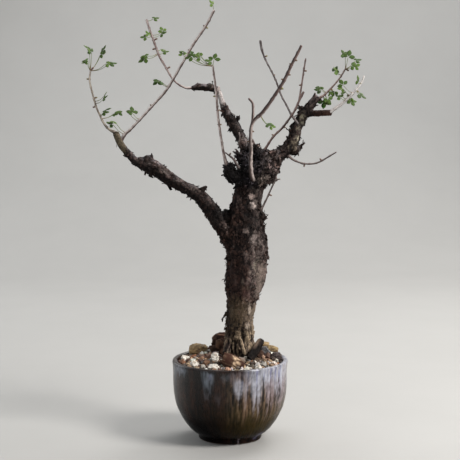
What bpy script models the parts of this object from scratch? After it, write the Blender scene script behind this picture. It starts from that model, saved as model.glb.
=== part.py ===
"""A potted commiphora boranensis: a caudex plant in a glazed stoneware bowl dressed with stones.

Metres, +Z up, X to the right and Y away from the viewer. The origin is the middle of the pot's foot.
Lengths below are written in millimetres and turned into metres by MM.
"""
import math
import random

import bmesh
import bpy
import numpy as np
from mathutils import Matrix, Vector, noise

MM = 0.001
GAP = 0.3
SEAT_GAP = GAP + 0.1
STEM_GAP = GAP + 0.2

# The plant is drawn in the upright plane y = 0, as seen by an eye in front of it. A point is then
# carried to its depth along the line of sight, so its depth can change and its front view stays.
EYE_DISTANCE = 1240
EYE_HEIGHT = 342

POT_SIDES = 30
POT_HEIGHT = 81
RIM_RADIUS = 59
LIP_WIDTH = 4.6
FOOT_RADIUS = 32.4
FOOT_HEIGHT = 4.6
FLOOR_TOP = 9
DRAIN_HOLES = 3
DRAIN_RADIUS = 4
DRAIN_RING = 17

SOIL_EDGE = 75.5
SOIL_HEAP = 8
SOIL_BACK_HEAP = 5
SOIL_RINGS = 5
SOIL_SIDES = 26
GRAINS = 38
GRAIN_SPACING = 7.4
GRAIN_REACH = 50
GRAIN_TRIES = 4000

TRUNK_X = 10
STUMP_RADIUS = 14
STUMP_START = 59
STUMP_TOP = 85.5
HOLE_RADIUS = STUMP_RADIUS + STEM_GAP
HOLE_BOTTOM = STUMP_START - STUMP_RADIUS / 4 - GAP
COLLAR_RADIUS = 19

BLADE_THICKNESS = 0.65
# Half of a leaflet's scalloped outline from its base to its tip, as reach and spread in leaflet lengths.
LEAFLET_EDGE = [(0.36, 0.21), (0.74, 0.28), (1.0, 0.0)]
LEAFLET_TURNS = (0, 84, -84)
LEAFLET_NOTCH = 0.13
LEAF_TONGUE = 0.30

# Routes of the grown parts. Each point is x, z in the front plane, depth behind it, and radius.
TRUNK = [(TRUNK_X, STUMP_START, 0, STUMP_RADIUS), (TRUNK_X, STUMP_TOP, 0, STUMP_RADIUS),
         (10, 90, 0, 15.4), (9.6, 100, 0, 14.6), (9.6, 112, -1, 13.8), (9.8, 123, -1, 13.4),
         (11, 136, -1, 14.2), (13, 150, -2, 16.4), (15.5, 164, -2, 18.4), (17.4, 180, -2, 19.2),
         (17.2, 196, -1, 19), (16.8, 210, 0, 18.4), (17, 227, 1, 16.8), (17.4, 241, 1, 14.6),
         (19.4, 252, 1, 13.4), (23, 264, 1, 14.4), (27, 272, 1, 12)]
LIMBS = {
    "left": [(12, 188, 0, 13), (5, 202, 0, 12), (-2.5, 211, 0, 10), (-10, 219.5, -1, 8.3),
             (-18, 231, -2, 7.8), (-26, 242, -4, 7.4), (-34, 249.5, -5, 6.3), (-46, 255.6, -6, 5.4),
             (-54, 260, -7, 5.6), (-62, 265, -8, 6.5), (-70, 271.2, -9, 6.8), (-78, 275.6, -10, 7.3),
             (-86, 278.4, -10, 6), (-94, 281.4, -10, 4), (-102, 289.5, -10, 3.6), (-108, 297, -10, 3.5),
             (-112, 305, -9, 3.4), (-113.5, 309.5, -8, 3.2)],
    "middle": [(20, 275, 6, 8), (17, 289, 11, 6), (12, 302, 16, 4.8), (6.5, 313.5, 21, 5.6),
               (-0.5, 324, 26, 5), (-5.5, 334, 30, 4.1), (-9, 344, 33, 2.6), (-13, 352, 35, 3.1),
               (-23, 354.5, 36, 3.2), (-31, 355, 37, 3.2), (-37.5, 354, 38, 2.4)],
    "right": [(26, 268, 1, 13), (38, 278, 2, 10.4), (48, 287, 4, 7.6), (57.5, 294, 7, 6.8), (63.5, 303, 9, 6.2),
              (65.5, 313, 10, 5.9), (70, 322, 11, 5), (74.5, 330, 12, 5), (80, 337, 13, 4.4),
              (86.5, 345, 14, 3.3)],
    "right_stub": [(75, 328, 12, 3.4), (82, 329, 10, 3.2), (92, 329.5, 7, 3.1), (101, 330, 4, 2.9)],
    "burr_arm": [(15, 264, -6, 8), (5, 267, -11, 6.2), (-0.5, 270, -15, 4.6), (-3.5, 277, -17, 3)],
    "root_front": [(9, 112, -9, 3.2), (11, 98, -13, 3.6), (14, 85, -17, 3)],
    "root_left": [(2, 108, -6, 3.2), (-1, 97, -10, 3.4), (-4.5, 86, -13, 3)],
    "root_right": [(18, 104, 4, 3.4), (22, 95, 7, 3.4), (25.5, 89, 9, 3)],
    "root_back": [(6, 104, 9, 3.6), (3, 97, 13, 3.6), (0, 91, 17, 3)],
}
# Rounded knots of the burr and the limbs: x, z, depth, radius.
KNOTS = [(30, 283, 2, 10.5), (34, 271, -3, 13), (21, 272, -6, 10), (11, 263, -8, 6.8), (2.5, 266, -12, 5.8),
         (0, 276, -15, 4.2), (18, 285, 8, 6), (33.5, 226, -4, 4.4), (-82.5, 283, -10, 6), (24, 258, 8, 11),
         (13.5, 284, -2, 5.2), (23, 294, 0, 4.6), (64, 292, 6, 5), (-3.5, 224, 1, 8.4)]
# Short broken spurs on the trunk: root x, z, depth, then tip x, z, depth, and radius.
SPURS = [((23, 296, 2), (22, 303, 1), 1.9), ((27, 292, -2), (27.5, 299, -4), 1.6),
         ((12, 284, -4), (7, 291, -7), 1.6), ((68, 294, 8), (72.5, 299, 8), 1.7),
         ((-32, 251, -6), (-21.5, 257.3, -8), 1.9), ((-78, 272, -10), (-79.5, 266.5, -12), 1.8),
         ((-3, 331, 28), (-2.6, 337, 26), 1.8), ((7, 322, 22), (11.5, 325.5, 20), 1.6),
         ((83, 342, 13), (84.5, 349.5, 12), 1.5), ((-5, 124, -4), (-9.5, 120, -6), 1.8),
         ((-80, 286, -10), (-78.5, 291.5, -10), 2), ((-3, 180, -8), (-7, 184, -10), 1.8),
         ((73, 333, 11), (66.5, 338, 10), 1.5)]
# Bark flakes on each grown part: how many, their length, and how far the tips stand off.
FLAKES = {"trunk": (27, 14, 2.8), "left": (12, 9, 2.2), "right": (7, 9, 2.2), "middle": (3, 7, 1.4)}
BURR_FLAKES = 14

# Young shoots: route, buds as tip x, z, and leaves as hub x, z, depth, lean in degrees and leaflet length.
SHOOTS = {
    "shoot_far_left": dict(
        route=[(-113.5, 309.5, -8, 1.9), (-120, 313, -7, 1.3), (-125, 318, -6, 1.1), (-129, 326, -4, 1),
               (-133, 335, -2, 1), (-135.5, 344, 0, 1), (-138, 354, 3, 0.95), (-139.5, 362, 6, 0.9),
               (-138.5, 371, 9, 0.9)],
        buds=[(-136.5, 335), (-132, 345), (-142, 363), (-135, 375)],
        leaves=[(-139.5, 392, 4, 120, 6), (-142.5, 381.5, 12, 190, 5), (-126.5, 390, 14, 75, 6),
                (-119, 378, 5, 20, 6), (-126, 343, -9, 60, 5), (-124, 332, -11, 40, 6),
                (-115, 329, 1, 30, 6)]),
    "shoot_long_left": dict(
        route=[(-108, 303, -9, 2), (-105, 308, -10, 1.7), (-99, 313.5, -11, 1.4), (-87.5, 325.5, -13, 1.35),
               (-75.5, 338.5, -14, 1.3), (-63, 352.5, -15, 1.3), (-49, 375.5, -17, 1.25),
               (-36, 397.5, -19, 1.25), (-24, 415, -21, 1.25), (-16, 430, -23, 1.3)],
        buds=[(-22, 413), (-79, 337.5), (-56, 362), (-41, 391.5), (-26, 415.5)],
        leaves=[(-97, 329.5, -16, 95, 6), (-68, 360, -20, 160, 6.5), (-17, 436, -24, 110, 4.5),
                (-117, 318, -14, 140, 5.5)]),
    "shoot_middle_left": dict(
        route=[(-36, 354, 37.5, 1.4), (-46, 355, 38, 1), (-56, 362, 37, 0.9), (-64, 375, 37, 1.1),
               (-70.5, 386.5, 37, 1.2), (-75, 399, 38, 1.2), (-79, 410, 39, 1.2), (-82.5, 421, 40, 1.15)],
        buds=[(-59, 375), (-77, 392), (-71.5, 403)],
        leaves=[(-75.5, 422, 40, 30, 5), (-83, 404, 34, 170, 5), (-68, 407, 44, 40, 5.5),
                (-84, 383, 31, 215, 6.5), (-66, 389, 43, 30, 5)]),
    "shoot_centre": dict(
        route=[(-2.8, 274, -15.5, 2.2), (-6.5, 290, -20, 1.35), (-8.5, 302, -23, 1.25), (-11, 318, -26, 1.2),
               (-12.5, 332, -28, 1.15), (-13.5, 346, -31, 1.1), (-15, 360, -33, 1.05), (-17, 375.5, -36, 1)],
        buds=[(-9, 318), (-16.5, 346), (-11, 332)],
        leaves=[(-16, 382, -37, 80, 6), (-29, 384.5, -30, 150, 5.5), (-37.5, 385, -42, 190, 6),
                (-45, 389.5, -34, 160, 5)]),
    "shoot_tall_right": dict(
        route=[(24, 261, -8, 2.8), (21.5, 267, -18, 2.3), (20.5, 279, -21, 2), (21, 293, -24, 1.8),
               (20.5, 306, -27, 1.7), (22.5, 320, -29, 1.6), (31.5, 329, -32, 1.75), (38.5, 338, -34, 1.7),
               (45.5, 348.5, -37, 1.65), (51, 357, -39, 1.6), (56, 366, -41, 1.55), (60.5, 376, -43, 1.45),
               (65.5, 385.5, -45, 1.4), (70.5, 395.5, -47, 1.25)],
        fork=[(22.3, 318, -28.7, 1.5), (23, 331, -30, 1.3), (22.5, 339, -30, 1.2), (19, 343.5, -29, 1.1)],
        buds=[(37, 334), (51, 363), (53, 353), (60, 367), (59.5, 378), (66.5, 381), (17, 301), (24, 311)],
        leaves=[(37, 318, -36, 0, 5.5)]),
    "shoot_forked": dict(
        route=[(33, 290, 6, 1.4), (42.5, 305, 8, 1.1), (52, 314.5, 8, 1.1), (60, 325, 1, 1.1),
               (64.5, 332, 0, 1.1), (69, 342, 2, 1.1), (73, 350, 3, 1.2)],
        fork=[(68.6, 341, 1.9, 1.05), (71, 356, 5, 0.85), (73, 370, 7, 0.8), (75, 383, 8, 0.65)],
        buds=[(42, 308), (55, 315), (69, 357), (76, 371)],
        leaves=[]),
    "shoot_crossing": dict(
        route=[(67.5, 319, 6.5, 1.5), (60.5, 329, 8, 1), (56, 337.5, 8, 0.95), (50, 349, 8, 0.9),
               (46, 360.5, 7, 0.85), (41, 371, 6, 0.85), (35, 382.5, 5, 0.85), (31.5, 392, 4, 1.15),
               (30, 400.5, 3, 1.2)],
        buds=[(44, 367), (51, 353), (37, 386)],
        leaves=[]),
    "shoot_drooping": dict(
        route=[(56.5, 289.5, 4, 1.5), (61, 284.5, 1, 1.2), (66, 281.5, -1, 0.95), (74.5, 279, -5, 0.85),
               (83.5, 279, -9, 0.8), (90, 281, -12, 0.8), (97, 285, -15, 0.75), (106, 290.5, -19, 0.65)],
        buds=[(74, 276), (90, 284)],
        leaves=[]),
    "shoot_low_right": dict(
        route=[(29, 229, -3, 1.6), (34.5, 239, -4, 0.95), (40, 251, -5, 0.8), (44, 259.5, -6, 0.75),
               (46.5, 263, -7, 0.7), (50, 263.5, -8, 0.7)],
        buds=[(42, 247)],
        leaves=[]),
    "shoot_burr_left": dict(
        route=[(11, 270, -10, 1.6), (6, 279.5, -8, 1.3), (3.5, 283.5, -6, 1.1), (0, 286.5, -3, 0.85),
               (-4.5, 290, 0, 0.7)],
        buds=[(0.5, 289.5)],
        leaves=[]),
    "shoot_burr_top": dict(
        route=[(13, 291, 11, 1.3), (9.5, 297.5, 5, 0.95), (10, 305, 4, 0.8), (9, 310, 5, 0.65)],
        buds=[],
        leaves=[]),
    "shoot_right_end": dict(
        route=[(84.5, 342.5, 14, 1.7), (92, 346, 15, 1.15), (98.5, 352, 17, 0.9), (105, 359, 19, 0.8),
               (110, 365.5, 21, 0.75), (114.5, 373, 23, 0.7)],
        buds=[(102, 352), (118, 371)],
        leaves=[(117, 384.5, 22, 80, 6.5), (126, 381, 28, 30, 5.5), (120.5, 376, 16, 10, 5.5),
                (107, 369, 26, 110, 6), (90.5, 352, 22, 160, 6), (104, 350.5, 10, 250, 5),
                (94, 338, 24, 280, 5)]),
    "shoot_right_pale": dict(
        route=[(99.5, 330, 3.5, 1.6), (111, 338, 0, 1.15), (119, 345, -4, 1.05), (126, 351.5, -7, 0.95),
               (131.5, 359.5, -9, 0.8), (134, 366, -10, 0.65)],
        buds=[(117, 347.5), (128, 350)],
        leaves=[(112.5, 357, -9, 110, 5.5), (110, 344.5, -7, 130, 5), (127, 360, -16, 90, 6),
                (130.5, 348, -14, 320, 6.5), (120.5, 341.5, 3, 290, 5.5)]),
}

# Stones and bark on the soil: centre x, y, then width, depth, height, turn, how far it sinks, and the
# power of its rounding (2 is an egg, more is a block), with its colour.
STONES = {
    "tan_block_stone": (-32, 18, 19, 13, 13, 8, 2, 4, (0.55, 0.36, 0.20)),
    "grey_stone": (36, 10, 10, 9, 12, 20, 2, 3, (0.24, 0.26, 0.30)),
    "ochre_stone_back": (33, 27, 12, 10, 12, 40, 1.5, 3, (0.50, 0.34, 0.17)),
    "ochre_stone_side": (44.5, 17.5, 9, 9, 12, -20, 1.5, 3, (0.46, 0.29, 0.14)),
    "lava_stone": (47, 1, 11, 9, 10, 15, 1.5, 2.4, (0.11, 0.08, 0.07)),
    "pumice_tall": (-15, -20, 8.5, 8, 11, 10, 4, 3, (0.78, 0.75, 0.70)),
    "pumice_left": (-36, -27, 9, 8, 8, 30, 3, 3, (0.80, 0.76, 0.70)),
    "pumice_front": (-16, -41, 12, 8, 8, 5, 3, 3, (0.82, 0.79, 0.74)),
    "pumice_chip": (28, -40, 7, 7, 6, 50, 2, 2.6, (0.80, 0.78, 0.74)),
    "pumice_right": (44, -22, 7, 7, 7, 70, 2, 2.6, (0.79, 0.76, 0.72)),
    "tan_stone_back": (-6, 43, 14, 10, 9, 12, 3, 3.4, (0.56, 0.38, 0.22)),
    "pumice_back": (12, 36, 9, 8, 8, 33, 3, 3, (0.80, 0.77, 0.72)),
    "brown_stone_back": (-34, 33, 8, 8, 8, 60, 2, 2.6, (0.27, 0.15, 0.10)),
    "white_stone_side": (-46, 4, 9, 10, 8, 15, 3, 3, (0.80, 0.77, 0.72)),
}
# Bark pieces: centre x, y, z, then length, width, thickness, how far the plate bends and narrows, its
# three turns, and its colour.
BARK = {
    "bark_dome": ((-7, 25, 94.5), (26, 22, 5), 3.0, 0.92, (80, 8, 14), (0.09, 0.06, 0.05)),
    "bark_plank": ((26.5, -12, 92), (31, 11, 4), 1.5, 0.55, (84, -28, 62), (0.13, 0.09, 0.07)),
    "bark_chip": ((4.5, -37, 85.6), (25, 15, 3.4), 3.5, 0.45, (52, 14, 4), (0.30, 0.19, 0.12)),
}


def clear_scene():
    """Remove the objects that a new scene starts with."""
    for item in list(bpy.data.objects):
        bpy.data.objects.remove(item, do_unlink=True)


def make_material(name, colour, roughness, metallic=0.0):
    """A Principled surface of one colour."""
    material = bpy.data.materials.new(name)
    material.use_nodes = True
    shader = material.node_tree.nodes["Principled BSDF"]
    shader.inputs["Base Color"].default_value = (*colour, 1)
    shader.inputs["Roughness"].default_value = roughness
    shader.inputs["Metallic"].default_value = metallic
    return material


def add_object(name, bm, material=None):
    """Put a bmesh, drawn in millimetres, into the scene as an object in metres."""
    bmesh.ops.scale(bm, vec=(MM, MM, MM), verts=bm.verts)
    mesh = bpy.data.meshes.new(name)
    bm.to_mesh(mesh)
    bm.free()
    item = bpy.data.objects.new(name, mesh)
    bpy.context.scene.collection.objects.link(item)
    if material:
        mesh.materials.append(material)
    return item


def seen_at(x, z, depth):
    """The point at a depth that the eye sees at x, z of the front plane."""
    reach = 1 + depth / EYE_DISTANCE
    return Vector((x * reach, depth, EYE_HEIGHT + (z - EYE_HEIGHT) * reach))


def smooth_route(points, step):
    """Points and radii along a Catmull-Rom curve through a route, about one step apart."""
    knots = np.array([(*seen_at(x, z, depth), radius) for x, z, depth, radius in points])
    knots = np.vstack([2 * knots[0] - knots[1], knots, 2 * knots[-1] - knots[-2]])
    samples = []
    for before, start, end, after in zip(knots, knots[1:], knots[2:], knots[3:]):
        count = max(1, round(float(np.linalg.norm(end[:3] - start[:3])) / step))
        for t in np.arange(count) / count:
            curve = 2 * start + (end - before) * t + (2 * before - 5 * start + 4 * end - after) * t ** 2
            samples.append((curve + (3 * start - before - 3 * end + after) * t ** 3) / 2)
    samples.append(knots[-2])
    return [(Vector(sample[:3]), float(sample[3])) for sample in samples]


def ridges(angle, along, radius):
    """Lengthwise ridges of old bark, as a share of the radius."""
    around = Vector((math.cos(angle) * 1.7, math.sin(angle) * 1.7, along / 26))
    coarse = noise.noise(around + Vector((3.1, 7.7, radius)))
    fine = noise.noise(around * 2.6 + Vector((9.4, 1.3, radius)))
    return 0.20 * coarse + 0.10 * fine


def tube(samples, sides, swell=0.0, rough=0.0, blunt=0.5):
    """A closed tube along samples of points and radii. Blunt is how far its ends stand out, in radii."""
    bm = bmesh.new()
    rings = []
    across = Vector((0, 1, 0))
    along = 0.0
    for index, (centre, radius) in enumerate(samples):
        ahead = samples[min(index + 1, len(samples) - 1)][0]
        behind = samples[max(index - 1, 0)][0]
        tangent = (ahead - behind).normalized()
        across = (across - tangent * across.dot(tangent)).normalized()
        beside = tangent.cross(across)
        if index:
            along += (centre - samples[index - 1][0]).length
        ring = []
        for side in range(sides):
            angle = 2 * math.pi * side / sides
            reach = radius * (1 + rough * ridges(angle, along, samples[0][1])) + swell
            ring.append(bm.verts.new(centre + reach * (math.cos(angle) * across + math.sin(angle) * beside)))
        rings.append(ring)
    for lower, upper in zip(rings, rings[1:]):
        for side in range(sides):
            after = (side + 1) % sides
            bm.faces.new((lower[side], lower[after], upper[after], upper[side]))
    ends = ((rings[0], samples[0], samples[1], True), (rings[-1], samples[-1], samples[-2], False))
    for ring, (centre, radius), (inner, _), first in ends:
        outward = (centre - inner).normalized()
        pole = bm.verts.new(centre + outward * (radius * blunt + swell))
        for side in range(sides):
            after = (side + 1) % sides
            edge = (ring[after], ring[side]) if first else (ring[side], ring[after])
            bm.faces.new((*edge, pole))
    bmesh.ops.recalc_face_normals(bm, faces=bm.faces)
    return bm


def closed_volume(mesh):
    """The volume that a mesh encloses, or 0 where it isn't closed."""
    bm = bmesh.new()
    bm.from_mesh(mesh)
    volume = bm.calc_volume(signed=True) if all(edge.is_manifold for edge in bm.edges) else 0
    bm.free()
    return volume


def keep_main_body(mesh):
    """Merge near doubles and keep the largest shell, without scraps or sealed hollows."""
    bm = bmesh.new()
    bm.from_mesh(mesh)
    bmesh.ops.triangulate(bm, faces=bm.faces)
    bmesh.ops.remove_doubles(bm, verts=bm.verts, dist=0.002 * MM)
    bmesh.ops.dissolve_degenerate(bm, edges=bm.edges, dist=0.002 * MM)
    bm.verts.ensure_lookup_table()
    seen, shells = set(), []
    for start in bm.verts:
        if start in seen:
            continue
        shell, queue = [], [start]
        seen.add(start)
        while queue:
            vertex = queue.pop()
            shell.append(vertex)
            for edge in vertex.link_edges:
                other = edge.other_vert(vertex)
                if other not in seen:
                    seen.add(other)
                    queue.append(other)
        shells.append(shell)
    largest = max(shells, key=len)
    for shell in shells:
        if shell is not largest:
            bmesh.ops.delete(bm, geom=shell, context="VERTS")
    bm.to_mesh(mesh)
    bm.free()


def combine(item, others, operation):
    """Join or cut an object with others by one Boolean, applied, and remove the others."""
    if not others:
        return item
    group = bpy.data.collections.new("tools")
    bpy.context.scene.collection.children.link(group)
    for other in others:
        bpy.context.scene.collection.objects.unlink(other)
        group.objects.link(other)
    modifier = item.modifiers.new("combine", "BOOLEAN")
    modifier.operation = operation
    modifier.operand_type = "COLLECTION"
    modifier.collection = group
    for solver in ("EXACT", "MANIFOLD"):
        modifier.solver = solver
        graph = bpy.context.evaluated_depsgraph_get()
        mesh = bpy.data.meshes.new_from_object(item.evaluated_get(graph))
        keep_main_body(mesh)
        if closed_volume(mesh) > 0:
            break
    mesh.name = item.name
    item.modifiers.clear()
    item.data = mesh
    for other in others:
        bpy.data.objects.remove(other, do_unlink=True)
    bpy.data.collections.remove(group)
    return item


def turned(profile, sides, reshape=None):
    """A solid of revolution about Z from radius, height points listed from its axis to its axis."""
    bm = bmesh.new()
    verts = [bm.verts.new((radius, 0, height)) for radius, height in profile]
    edges = [bm.edges.new(pair) for pair in zip(verts, verts[1:])]
    bmesh.ops.spin(bm, geom=verts + edges, cent=(0, 0, 0), axis=(0, 0, 1), angle=2 * math.pi, steps=sides)
    bmesh.ops.remove_doubles(bm, verts=bm.verts, dist=0.001)
    if reshape:
        for vertex in bm.verts:
            vertex.co = reshape(vertex.co)
    bmesh.ops.recalc_face_normals(bm, faces=bm.faces)
    return bm


def pot_outside():
    """The pot's outer profile from the foot to the lip."""
    belly = [(36.4, 6.8), (46.2, 17.4), (52, 27.5), (56.2, 39), (58, 51), (58.2, 72)]
    foot = [(0, 0), (FOOT_RADIUS - 1, 0), (FOOT_RADIUS, 1), (FOOT_RADIUS, FOOT_HEIGHT)]
    lip = [(RIM_RADIUS, POT_HEIGHT - 3), (RIM_RADIUS - 0.5, POT_HEIGHT - 0.8), (RIM_RADIUS - 2.2, POT_HEIGHT)]
    return foot + belly + lip


def pot_inside(clearance=0.0):
    """The pot's inner profile from the floor's middle to under the lip."""
    wall = [(34, FLOOR_TOP + 2), (41, 18), (48.4, 31.5), (53, 48), (53.8, SOIL_EDGE)]
    floor = [(0, FLOOR_TOP + clearance)]
    return floor + [(radius - clearance, height + clearance) for radius, height in wall]


def make_pot(glaze):
    """The glazed bowl, its lip and foot, with drain holes through its floor."""
    lip_inside = [(RIM_RADIUS - LIP_WIDTH, POT_HEIGHT - 1)]
    profile = pot_outside() + lip_inside + pot_inside()[::-1]
    pot = add_object("pot", turned(profile, POT_SIDES), glaze)
    holes = []
    for index in range(DRAIN_HOLES):
        angle = 2 * math.pi * (index / DRAIN_HOLES + 0.25)
        bm = bmesh.new()
        middle = (DRAIN_RING * math.cos(angle), DRAIN_RING * math.sin(angle), FLOOR_TOP / 2)
        place = Matrix.Translation(middle)
        bmesh.ops.create_cone(bm, cap_ends=True, segments=12, radius1=DRAIN_RADIUS, radius2=DRAIN_RADIUS,
                              depth=FLOOR_TOP * 2, matrix=place)
        holes.append(add_object("drain_cutter", bm))
    combine(pot, holes, "DIFFERENCE")
    pot.data.shade_smooth()
    pot.data.set_sharp_from_angle(angle=math.radians(35))
    return pot


def soil_height(x, y):
    """The heaped top of the soil, level in a collar round the trunk."""
    spread = min(1.0, math.hypot(x, y) / 54)
    heap = SOIL_EDGE + (SOIL_HEAP + SOIL_BACK_HEAP * max(0.0, y) / 54) * (1 - spread ** 3)
    waves = 0.9 * noise.noise(Vector((x / 9, y / 9, 2.5)))
    collar = SOIL_EDGE + SOIL_HEAP
    blend = min(1.0, max(0.0, (math.hypot(x - TRUNK_X, y) - COLLAR_RADIUS) / 8))
    return collar + (heap + waves * min(1.0, (1 - spread) * 5) - collar) * blend


def rounded_block(size, turn, power, seed, detail, swell=0.0):
    """A rough stone: a sphere squared by a power, dented by noise, sized, swollen and turned."""
    bm = bmesh.new()
    bmesh.ops.create_icosphere(bm, subdivisions=detail, radius=1)
    spin = Matrix.Rotation(math.radians(turn), 3, "Z")
    for vertex in bm.verts:
        ball = vertex.co.normalized()
        square = sum(abs(part) ** power for part in ball) ** (-1 / power)
        dent = 1 + 0.16 * noise.noise(ball * 1.6 + Vector((seed, seed * 0.7, 0)))
        part = ball * square * dent
        vertex.co = spin @ Vector([part[axis] * (size[axis] / 2 + swell) for axis in range(3)])
    return bm


def make_grains(rng, taken):
    """Small grains of grit standing out of the soil, spaced apart and clear of the larger pieces."""
    grains, places = [], []
    for _ in range(GRAIN_TRIES):
        if len(grains) == GRAINS:
            break
        radius = GRAIN_REACH * math.sqrt(rng.random())
        angle = rng.uniform(0, 2 * math.pi)
        x, y = radius * math.cos(angle), radius * math.sin(angle)
        spacing = GRAIN_SPACING * rng.uniform(0.75, 1.1)
        near_trunk = math.hypot(x - TRUNK_X, y) < COLLAR_RADIUS + 4
        crowded = any(math.hypot(x - other[0], y - other[1]) < spacing for other in places)
        blocked = any(math.hypot(x - stone[0], y - stone[1]) < stone[2] for stone in taken)
        if near_trunk or crowded or blocked:
            continue
        places.append((x, y))
        size = [rng.uniform(4.0, 6.4) for _ in range(3)]
        bm = rounded_block(size, rng.uniform(0, 90), 3, rng.uniform(0, 50), 1)
        bmesh.ops.translate(bm, verts=bm.verts, vec=(x, y, soil_height(x, y) + size[2] * 0.12))
        grains.append(add_object("grain", bm))
    return grains


def make_soil(earth, cutters):
    """The filling of the pot with its grit, the trunk's plain hole and the seats of the stones."""
    side = pot_inside(GAP)
    rings = [side[-1][0] * (1 - (index + 1) / SOIL_RINGS) for index in range(SOIL_RINGS)]
    profile = side + [(radius, SOIL_EDGE + 1) for radius in rings]

    def heap(point):
        if point.z > SOIL_EDGE + 0.5:
            point.z = soil_height(point.x, point.y)
        return point

    soil = add_object("soil", turned(profile, SOIL_SIDES, heap), earth)
    rng = random.Random(11)
    taken = [(stone[0], stone[1], max(stone[2], stone[3]) / 2 + 2.5) for stone in STONES.values()]
    taken += [(piece[0][0], piece[0][1], 9) for piece in BARK.values()]
    combine(soil, make_grains(rng, taken), "UNION")
    bm = bmesh.new()
    top = POT_HEIGHT + SOIL_HEAP
    place = Matrix.Translation((TRUNK_X, 0, (HOLE_BOTTOM + top) / 2))
    bmesh.ops.create_cone(bm, cap_ends=True, segments=18, radius1=HOLE_RADIUS, radius2=HOLE_RADIUS,
                          depth=top - HOLE_BOTTOM, matrix=place)
    hole = add_object("hole_cutter", bm)
    return combine(soil, [hole] + cutters, "DIFFERENCE")


def make_stones():
    """The larger stones, each with the swollen copy that cuts its seat in the soil."""
    cutters = []
    for seed, (name, values) in enumerate(STONES.items()):
        x, y, width, depth, height, turn, sink, power, colour = values
        at = Vector((x, y, soil_height(x, y) + height / 2 - sink))
        for swell in (0.0, SEAT_GAP):
            detail = 2 if width > 8.5 else 1
            bm = rounded_block((width, depth, height), turn, power, seed * 3.7, detail, swell)
            bmesh.ops.translate(bm, verts=bm.verts, vec=at)
            if swell:
                cutters.append(add_object("seat_cutter", bm))
            else:
                add_object(name, bm, make_material(name, colour, 0.85))
    return cutters


def bent_plate(size, bend, narrowing, turns, at, swell=0.0):
    """A plate of bark, arched across its width, narrower towards its uneven ends."""
    bm = bmesh.new()
    columns, rows = 5, 3
    length, width, thickness = size
    layers = []
    for side in (1, -1):
        layer = []
        for column in range(columns + 1):
            along = column / columns * 2 - 1
            line = []
            for row in range(rows + 1):
                across = row / rows * 2 - 1
                taper = math.sqrt(1 - narrowing * along ** 2)
                ragged = 1 + 0.10 * noise.noise(Vector((across * 2, along * 3, length)))
                x = along * (length / 2 + swell) * ragged
                y = across * (width / 2 * taper + swell)
                z = side * (thickness / 2 + 2 * swell) - bend * across ** 2 + 0.3 * bend * (1 - along ** 2)
                line.append(bm.verts.new((x, y, z)))
            layer.append(line)
        layers.append(layer)
    upper, lower = layers
    for column in range(columns):
        for row in range(rows):
            corners = ((column, row), (column + 1, row), (column + 1, row + 1), (column, row + 1))
            bm.faces.new([upper[c][r] for c, r in corners])
            bm.faces.new([lower[c][r] for c, r in reversed(corners)])
    border = [(c, 0) for c in range(columns)] + [(columns, r) for r in range(rows)]
    border += [(c, rows) for c in range(columns, 0, -1)] + [(0, r) for r in range(rows, 0, -1)]
    for (c1, r1), (c2, r2) in zip(border, border[1:] + border[:1]):
        bm.faces.new((upper[c1][r1], lower[c1][r1], lower[c2][r2], upper[c2][r2]))
    bmesh.ops.triangulate(bm, faces=bm.faces)
    bmesh.ops.recalc_face_normals(bm, faces=bm.faces)
    rotation = Matrix.Identity(3)
    for axis, turn in zip("XYZ", turns):
        rotation = Matrix.Rotation(math.radians(turn), 3, axis) @ rotation
    bmesh.ops.rotate(bm, cent=(0, 0, 0), matrix=rotation, verts=bm.verts)
    bmesh.ops.translate(bm, verts=bm.verts, vec=at)
    return bm


def make_bark_pieces():
    """The loose pieces of bark, each with the swollen copy that cuts its seat in the soil."""
    cutters = []
    for name, (at, *form, colour) in BARK.items():
        add_object(name, bent_plate(*form, at), make_material(name, colour, 0.9))
        cutters.append(add_object("bark_cutter", bent_plate(*form, at, SEAT_GAP)))
    return cutters


def flake(at, outward, along, length, width, lift):
    """A curling scrap of bark: its root is sunk in the stem, and its tip stands off by lift."""
    bm = bmesh.new()
    beside = outward.cross(along).normalized()
    stations = ((-0.5, -1.8, 1.0, 1.6), (0.5, lift, 0.5, 1.0))
    rings = []
    for reach, height, share, thickness in stations:
        centre = at + along * length * reach + outward * height
        half = beside * width / 2 * share
        up = outward * thickness / 2
        corners = ((1, 1), (-1, 1), (-1, -1), (1, -1))
        rings.append([bm.verts.new(centre + half * u + up * v) for u, v in corners])
    for lower, upper in zip(rings, rings[1:]):
        for side in range(4):
            after = (side + 1) % 4
            bm.faces.new((lower[side], lower[after], upper[after], upper[side]))
    bm.faces.new(rings[0][::-1])
    bm.faces.new(rings[-1])
    bmesh.ops.recalc_face_normals(bm, faces=bm.faces)
    return bm


def outside(samples, index, angle):
    """A point on a stem's surface, its outward direction and the stem's own direction."""
    centre, radius = samples[index]
    tangent = (samples[index + 1][0] - samples[index - 1][0]).normalized()
    side = Vector((0, 1, 0)).cross(tangent).normalized()
    outward = side * math.cos(angle) + tangent.cross(side) * math.sin(angle)
    return centre + outward * radius, outward, tangent


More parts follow.
